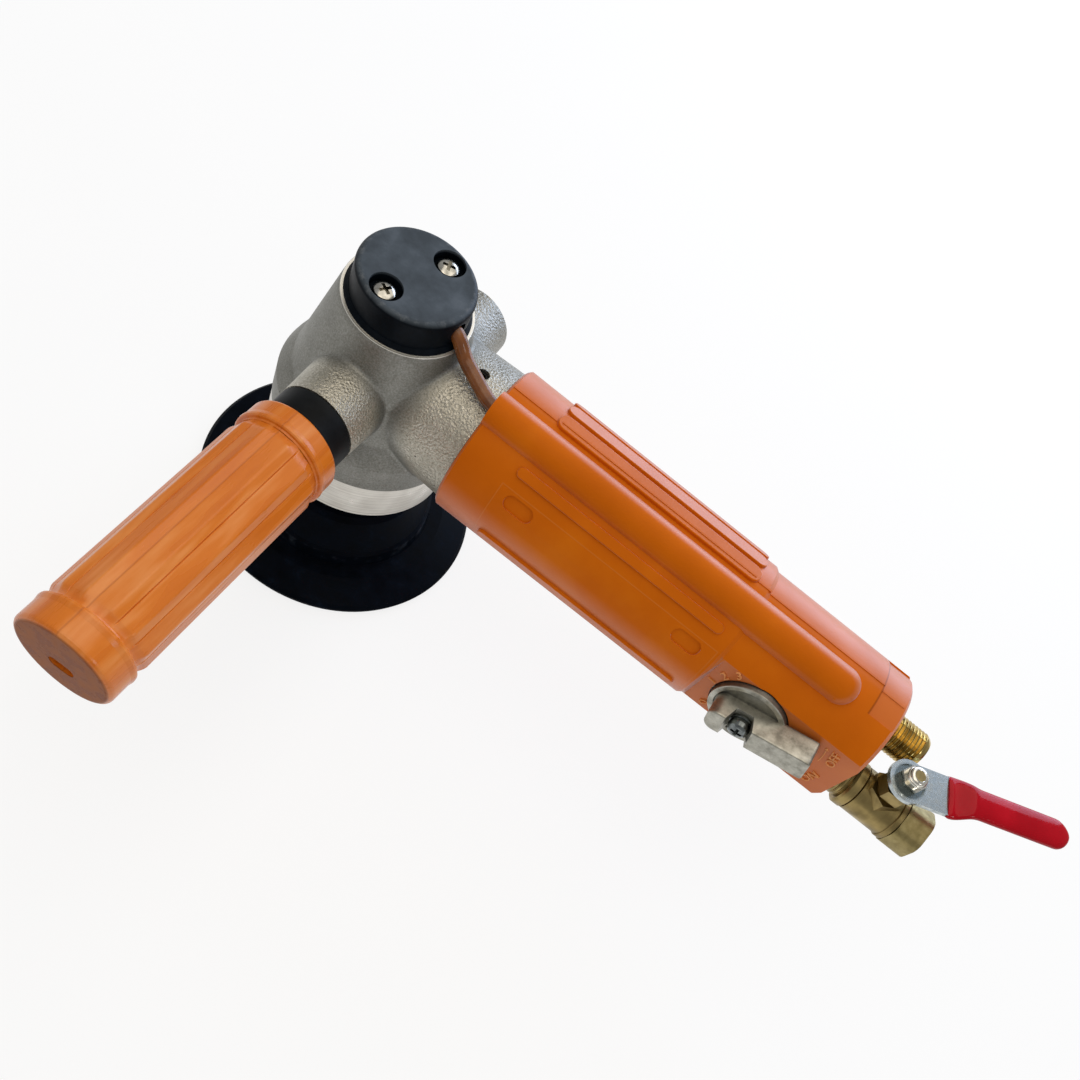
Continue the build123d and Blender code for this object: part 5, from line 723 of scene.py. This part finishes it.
def water_valve_end():
    """Female end of the water valve: a ring, an eased hexagon and the open inlet."""
    bm = bmesh.new()
    start, ring = VALVE_END_X, VALVE_RING_R
    hex_from = start + VALVE_RING_T
    end = start + VALVE_END_LEN
    inner, mouth = VALVE_INLET_R, VALVE_INLET_R + 1.2
    outline = [(start - 0.5, VALVE_BORE_R), (start - 0.5, inner), (start, inner), (start, ring - 0.3)]
    outline += [(start + 0.3, ring), (hex_from - 0.3, ring), (hex_from, ring - 0.3), (hex_from, mouth)]
    outline += [(end + 0.05, mouth), (end + 0.05, inner + 0.5), (end - 0.45, inner), (hex_from - 0.4, inner)]
    outline += [(hex_from - 0.4, VALVE_BORE_R), (start - 0.5, VALVE_BORE_R)]
    spin_profile(bm, outline, ALONG, VALVE_CENTRE, steps=64)
    spot = VALVE_CENTRE + ALONG * hex_from
    hex_collar(bm, VALVE_END_AF, wall=2.6, length=end - hex_from, turn=90.0, rounding=2.6, spot=spot)
    piece = add_piece(bm, "eased_valve_end", valve_brass, "tool_body")
    piece.data.materials.append(milled_brass)
    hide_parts("water_valve_end")


def lever_nut_crown():
    """Rolled crown of the locking nut round the end of the valve stem."""
    bm = bmesh.new()
    top = STEM_TOP_Z + 0.1
    crown = [(top - 1.6, 1.7), (top - 1.6, 3.3), (top - 0.6, 3.25), (top - 0.15, 2.9)]
    crown += [(top, 2.5), (top, 2.0), (top - 0.25, 1.7), (top - 1.6, 1.7)]
    spin_profile(bm, crown, UP, Vector((STEM_X, STEM_Y, 0)), steps=48)
    add_piece(bm, "nut_crown", screw_zinc, "water_lever_body")


def dipped_lever_grip():
    """Vinyl dip on the water lever, a soft oval bar that follows the joggle of the blade."""
    bm = bmesh.new()
    along = Vector((cos(radians(LEVER_ANGLE)), sin(radians(LEVER_ANGLE)), 0))
    across = Vector((-along.y, along.x, 0))
    tip = LEVER_TIP - LEVER_NARROW
    stations = [LEVER_GRIP_FROM, LEVER_GRIP_FROM + 0.25, LEVER_GRIP_FROM + 0.8]
    stations += [LEVER_TAPER_FROM + 0.9 * step for step in range(12)] + [28.0, 33.0, 40.0, 47.0, tip]
    stations += [tip + LEVER_NARROW * sin(radians(turn)) for turn in (15, 30, 43, 55, 66, 75, 82, 87)]
    loops = []
    for station in stations:
        round_off = cos(asin(max(station - tip, 0.0) / LEVER_NARROW))
        start = 0.75 + 0.25 * ease((station - LEVER_GRIP_FROM) / 0.8)
        taper = ease((station - LEVER_TAPER_FROM) / LEVER_TAPER_RUN)
        wide = (LEVER_WIDE + (LEVER_NARROW - LEVER_WIDE) * taper) * round_off * (0.9 + 0.1 * start)
        thick = LEVER_HALF_T * start * (0.35 + 0.65 * round_off**0.5)
        rise = LEVER_MID_Z + LEVER_JOGGLE * ease((station - LEVER_JOGGLE_FROM) / LEVER_JOGGLE_RUN)
        centre = Vector((STEM_X, STEM_Y, rise)) + along * station
        loop = bmesh.ops.create_circle(bm, cap_ends=False, segments=32, radius=1.0)["verts"]
        for vert in loop:
            flat, high = vert.co.x, vert.co.y
            side = wide * abs(flat) ** 0.75 * (1 if flat > 0 else -1)
            lift = thick * abs(high) ** 0.75 * (1 if high > 0 else -1)
            vert.co = (centre + across * side + UP * lift) * MM
        loops.append(once(e for v in loop for e in v.link_edges))
    skin_loops(bm, loops)
    piece = add_piece(bm, "dipped_lever_grip", dipped_vinyl, "water_lever_body", crease=50.0)
    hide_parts("valve_lever_grip")


def end_slot():
    """Cutter of the hanging slot in the end of the side grip."""
    bm = bmesh.new()
    ring = bmesh.ops.create_circle(bm, cap_ends=True, segments=32, radius=END_SLOT_W / 2 * MM)["verts"]
    for side in (1, -1):
        half = [v for v in ring if v.co.x * side > 1e-7]
        bmesh.ops.translate(bm, verts=half, vec=(side * (END_SLOT_L - END_SLOT_W) / 2 * MM, 0, 0))
    raise_faces(bm, bm.faces[:], (0, 0, -END_SLOT_DEPTH))
    bmesh.ops.rotate(bm, verts=bm.verts, matrix=Matrix.Rotation(radians(90), 3, "X"))
    mouth = Vector((0, GRIP_END_Y - 1.0, GRIP_AXIS_Z - END_SLOT_DROP))
    bmesh.ops.translate(bm, verts=bm.verts, vec=mouth * MM)
    bmesh.ops.recalc_face_normals(bm, faces=bm.faces)
    return place_object("end_slot", to_mesh(bm, "end_slot"))


def fluted_side_grip():
    """Side grip with its two bands and the saw-shaped flutes between them."""
    axis = Vector((0, -1, 0))
    centre = UP * GRIP_AXIS_Z
    start, front, back, end = -GRIP_FRONT_Y, -GRIP_BODY_FROM, -GRIP_BODY_TO, -GRIP_END_Y
    bead = [(0.6, 14.0), (0.0, 14.2), (-0.1, 14.9), (-0.45, 15.25)]
    bead += [(-1.1, 15.33), (-1.8, 15.2), (-2.5, 15.02)]
    bm = bmesh.new()
    rear = [(back - 0.6, 0.0)] + [(back - inset, radius) for inset, radius in bead]
    rear += [(end - 1.6, 15.0), (end - 0.99, 14.88), (end - 0.47, 14.53)]
    rear += [(end - 0.12, 14.01), (end, 13.4), (end, 0.0)]
    spin_profile(bm, rear, axis, centre, steps=96)
    close_seams(bm)
    rear_band = cut_mesh(to_mesh(bm, "rear_band"), end_slot())
    bm = bmesh.new()
    bm.from_mesh(rear_band)
    band = [(start, 0.0), (start, 14.2), (start + 0.25, 14.75), (start + 0.8, 15.0)]
    band += [(front + inset, radius) for inset, radius in reversed(bead)] + [(front + 0.6, 0.0)]
    spin_profile(bm, band, axis, centre, steps=96)
    section = []
    for flute in range(FLUTES):
        groove = 360.0 / FLUTES * flute - MOULD_TURN
        crevice = 0.0 if flute == 0 else 0.4
        section += [(groove - 0.9, FLUTE_LOW_R + 0.05), (groove, FLUTE_LOW_R - crevice)]
        section += [(groove + 0.9, FLUTE_LOW_R), (groove + 17.8, FLUTE_R - 0.04)]
        section += [(groove + 19.0, FLUTE_R), (groove + 20.2, FLUTE_R - 0.04)]
    steps = (0.0, 0.8, 1.2, 1.6, 2.1, 2.6, 3.2, 4.0, 4.8)
    loops = []
    for station in [front + step for step in steps] + [back - step for step in reversed(steps)]:
        share = ease((min(station - front, back - station) - 0.8) / 3.2)
        loop = bmesh.ops.create_circle(bm, cap_ends=False, segments=len(section), radius=1.0)["verts"]
        for vert, (turn, radius) in zip(loop, section):
            reach = VALLEY_R + (radius - VALLEY_R) * share
            spot = Vector((reach * sin(radians(turn)), 0, reach * cos(radians(turn))))
            vert.co = (centre + axis * station + spot) * MM
        loops.append(once(e for v in loop for e in v.link_edges))
    skin_loops(bm, loops)
    piece = add_piece(bm, "fluted_side_grip", grip_rubber, "tool_body", crease=9.0)
    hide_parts("side_handle_grip")


def cross_recess(radius, depth, wide):
    """Cutter of a cross recess with sloping ends, centred on the top of a screw head."""
    bm = bmesh.new()
    for turn in (0.0, 90.0):
        arm = bmesh.ops.create_cube(bm, size=1.0)["verts"]
        bmesh.ops.scale(bm, verts=arm, vec=Vector((2 * radius, wide, 2 * depth)) * MM)
        low = [v for v in arm if v.co.z < 0]
        bmesh.ops.scale(bm, verts=low, vec=(0.45, 0.7, 1.0))
        bmesh.ops.rotate(bm, verts=arm, matrix=Matrix.Rotation(radians(turn), 3, "Z"))
    return place_object("recess", to_mesh(bm, "recess"))


def pan_head(radius, height, washer_r=0.0, washer_t=0.0):
    """Mesh of a cross-recessed pan head, on a washer where it has one, seat at the origin, axis along +Z."""
    bm = bmesh.new()
    outline = [(-SHANK_L, 0.0), (-SHANK_L, SHANK_R), (0.0, SHANK_R)]
    if washer_t:
        outline += [(0.0, washer_r - 0.15), (0.15, washer_r)]
        outline += [(washer_t - 0.15, washer_r), (washer_t, washer_r - 0.15)]
    outline += [(washer_t, radius - 0.15)]
    dome = ((0.12, 1.0), (0.48, 0.985), (0.74, 0.9), (0.9, 0.72), (0.98, 0.45), (1.0, 0.0))
    outline += [(washer_t + up * height, out * radius) for up, out in dome]
    spin_profile(bm, outline, UP, ORIGIN, steps=48)
    close_seams(bm)
    cutter = cross_recess(radius * 0.76, min(0.76 * height, 2.2), radius * 0.34)
    cutter.location.z = (washer_t + height) * MM
    return cut_mesh(to_mesh(bm, "pan_head"), cutter)


def screws():
    """Cross-recessed pan heads of the water cap and of the throttle lever."""
    head = pan_head(CAP_HEAD_R, CAP_HEAD_H)
    bm = bmesh.new()
    for step, twist in ((0, 20.0), (180, 62.0)):
        angle = radians(CAP_SCREW_ANGLE + step)
        spot = Vector((CAP_SCREW_CIRCLE * cos(angle), CAP_SCREW_CIRCLE * sin(angle), CAP_SCREW_SEAT_Z)) * MM
        turned = Matrix.Translation(spot) @ Matrix.Rotation(radians(twist), 4, "Z")
        known = set(bm.verts)
        bm.from_mesh(head)
        bmesh.ops.transform(bm, matrix=turned, verts=[v for v in bm.verts if v not in known])
    pair = add_piece(bm, "cap_pan_heads", cap_screw_zinc, "tool_body", crease=30.0)
    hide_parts("water_cap_screws")
    bm = bmesh.new()
    bm.from_mesh(pan_head(DIAL_HEAD_R, DIAL_HEAD_H, DIAL_WASHER_R, DIAL_WASHER_T))
    spot = Vector((DIAL_X, DIAL_SEAT_Y, MOTOR_AXIS_Z)) * MM
    facing = Matrix.Rotation(radians(90), 4, "X") @ Matrix.Rotation(radians(8), 4, "Z")
    bmesh.ops.transform(bm, matrix=Matrix.Translation(spot) @ facing, verts=bm.verts)
    single = add_piece(bm, "dial_pan_head", oily_screw, "throttle_body", crease=30.0)
    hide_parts("throttle_lever_screw")


def dial_spot(angle, reach, upright):
    """Frame of a moulded mark on the dial flat, its top away from the pivot or towards it."""
    outward = Vector((cos(radians(angle)), 0, sin(radians(angle))))
    up = outward if upright else -outward
    face = Vector((0, -1, 0))
    spot = (Vector((DIAL_X, DIAL_FLAT_Y, MOTOR_AXIS_Z)) + outward * reach) * MM
    return Matrix.Translation(spot) @ Matrix((up.cross(face), up, face)).transposed().to_4x4()


def dial_marks():
    """Raised figures and words round the throttle and the arrow beside them, moulded with the sleeve."""
    bm = bmesh.new()
    # text, angle, reach from the pivot in mm, and whether its top is away from the pivot
    marks = [
        ("0", 220.8, 15.0, True),
        ("1", 174.0, 15.2, True),
        ("2", 152.9, 15.4, True),
        ("3", 133.5, 15.8, True),
        ("OFF", 14.7, 30.0, False),
        ("ON", -12.3, 30.6, False),
    ]
    for text, angle, reach, upright in marks:
        letters = bpy.data.curves.new("mark", "FONT")
        letters.body = text
        letters.size = MARK_SIZE * MM
        letters.align_x = "CENTER"
        letters.align_y = "CENTER"
        letters.extrude = MARK_RISE * MM
        letters.resolution_u = 4
        mesh = final_mesh(place_object("mark", letters))
        mesh.transform(dial_spot(angle, reach, upright))
        bm.from_mesh(mesh)
    pivot = Vector((DIAL_X, DIAL_FLAT_Y, MOTOR_AXIS_Z)) * MM
    bead = bmesh.ops.create_grid(bm, x_segments=1, y_segments=1, size=0.18 * MM)["verts"]
    bmesh.ops.translate(bm, verts=bead, vec=pivot + ALONG * ARROW_R * MM)
    bmesh.ops.rotate(bm, verts=bead, cent=pivot, matrix=Matrix.Rotation(radians(-6), 3, "Y"))
    section = bead[0].link_faces[:]
    line = bead + section[0].edges[:] + section
    bmesh.ops.spin(bm, geom=line, cent=pivot, axis=(0, 1, 0), angle=radians(-14), steps=14)
    head = bmesh.ops.create_circle(bm, cap_ends=True, segments=3, radius=0.8 * MM)["verts"]
    pointing = dial_spot(21.5, ARROW_R, False) @ Matrix.Rotation(radians(-90), 4, "Z")
    bmesh.ops.transform(bm, matrix=pointing, verts=head)
    raise_faces(bm, head[0].link_faces[:], (0, -ARROW_RISE, 0))
    add_piece(bm, "dial_marks", lit_mark_rubber, "tool_body", crease=30.0)


def cap_seat():
    """Turned rim of the barrel round the cap's seat, and the bead of sealant at the cap's foot."""
    bm = bmesh.new()
    low, inner = LAND_Z + 0.02, LAND_R + 0.02
    rim = [(low, inner), (low, BARREL_TOP_R), (RIM_TOP_Z - 0.1, RIM_R + 0.05)]
    rim += [(RIM_TOP_Z + 0.2, RIM_R - 0.2), (RIM_TOP_Z + 0.2, inner), (low, inner)]
    spin_profile(bm, rim, UP, ORIGIN, steps=128)
    add_piece(bm, "barrel_rim", casting, "tool_body")
    bm = bmesh.new()
    foot, wall = LAND_Z + 2.25, CAP_R + 0.02
    bead = [(foot, wall), (foot, LAND_R - 0.2), (foot + 0.35, LAND_R - 0.35), (foot + 0.8, CAP_R + 0.6)]
    bead += [(foot + 1.4, CAP_R + 0.1), (foot + 1.4, wall), (foot, wall)]
    spin_profile(bm, bead, UP, ORIGIN, steps=96)
    add_piece(bm, "cap_foot_bead", cap_acetal, "tool_body")


cap_seat()
air_inlet_nipple()
water_valve_thread()
water_valve_end()
lever_nut_crown()
dipped_lever_grip()
fluted_side_grip()
screws()
dial_marks()


def pale_floor():
    # painted studio sweep: white and matt, shown to the eye and to gloss a little whiter than it is lit
    material, tree, place = blank("painted_floor")
    shade = node(tree, "TexNoise", {"Vector": place, "Scale": per_mm(300), "Detail": 2.0})
    paint = node(tree, "ValToRGB", [shade], [(0.3, "#F3F3F2"), (0.7, "#F6F6F5")])
    shader = node(tree, "BsdfPrincipled", {"Base Color": paint, "Roughness": 0.9})
    path = node(tree, "LightPath").outputs
    shown = node(tree, "Math", [path["Is Camera Ray"], path["Is Transmission Ray"]], operation="MAXIMUM")
    seen = node(tree, "Math", [shown, path["Is Glossy Ray"]], operation="MAXIMUM")
    share = node(tree, "Math", [seen, FLOOR_WHITE], operation="MULTIPLY")
    white = node(tree, "Emission", {"Color": "#FFFFFF", "Strength": 1.0})
    mixed = node(tree, "MixShader", [share, shader, white])
    node(tree, "OutputMaterial", {"Surface": mixed})
    bm = bmesh.new()
    bmesh.ops.create_grid(bm, x_segments=1, y_segments=1, size=FLOOR_HALF)
    bmesh.ops.translate(bm, verts=bm.verts, vec=(0, 0, FLOOR_Z))
    floor = place_object("studio_floor", to_mesh(bm, "studio_floor"))
    floor.data.materials.append(material)


def soft_lamp(name, place, aim, wide, tall, power, colour):
    """Oblong soft box that faces a point."""
    lamp = bpy.data.lights.new(name, "AREA")
    lamp.shape = "RECTANGLE"
    lamp.size = wide
    lamp.size_y = tall
    lamp.energy = power
    lamp.color = linear(colour)[:3]
    holder = place_object(name, lamp)
    holder.location = place
    holder.rotation_euler = (Vector(aim) - Vector(place)).to_track_quat("-Z", "Y").to_euler()


def studio():
    """Even pale surroundings, a broad low window behind the tool, a soft top light and two fill lights."""
    world = bpy.data.worlds.new("studio")
    bpy.context.scene.world = world
    world.use_nodes = True
    tree = world.node_tree
    tree.nodes.clear()
    sky = node(tree, "Background", {"Color": "#FFFFFF", "Strength": 0.37})
    node(tree, "OutputWorld", {"Surface": sky})
    # name, place, aim, width, height, watts and colour of each soft box
    boxes = (
        ("window_box", (0.25, 0.80, 0.38), (0.08, 0.0, 0.08), 0.8, 0.6, 5.8, "#CCDEFF"),
        ("top_box", (0.04, 0.32, 1.0), (0.04, 0.32, 0.0), 0.9, 1.3, 4.6, "#FFF5E6"),
        ("rear_box", (0.62, -0.22, 0.50), (0.20, 0.0, 0.08), 0.14, 0.14, 0.32, "#FFFFFF"),
        ("front_box", (-0.10, -0.50, 0.95), (0.04, 0.0, 0.08), 0.5, 0.5, 1.1, "#FFEFD8"),
    )
    for box in boxes:
        soft_lamp(*box)


def photo_camera():
    """Camera at the photograph's place, roll and framing."""
    right = Vector((0.78874, 0.49990, 0.35775))
    up = Vector((-0.61146, 0.69793, 0.37284))
    back = Vector((-0.06330, -0.51282, 0.85616))
    data = bpy.data.cameras.new("photo_camera")
    data.sensor_width = 36.0
    data.lens = 36.396
    data.shift_y = 0.14815
    data.clip_start = 0.01
    data.clip_end = 10.0
    camera = place_object("photo_camera", data)
    turn = Matrix((right, up, back)).transposed().to_4x4()
    camera.matrix_world = Matrix.Translation(Vector((81.031, -225.290, 347.180)) * MM) @ turn
    bpy.context.scene.camera = camera


pale_floor()
studio()
photo_camera()
bpy.context.scene.view_settings.view_transform = "Standard"
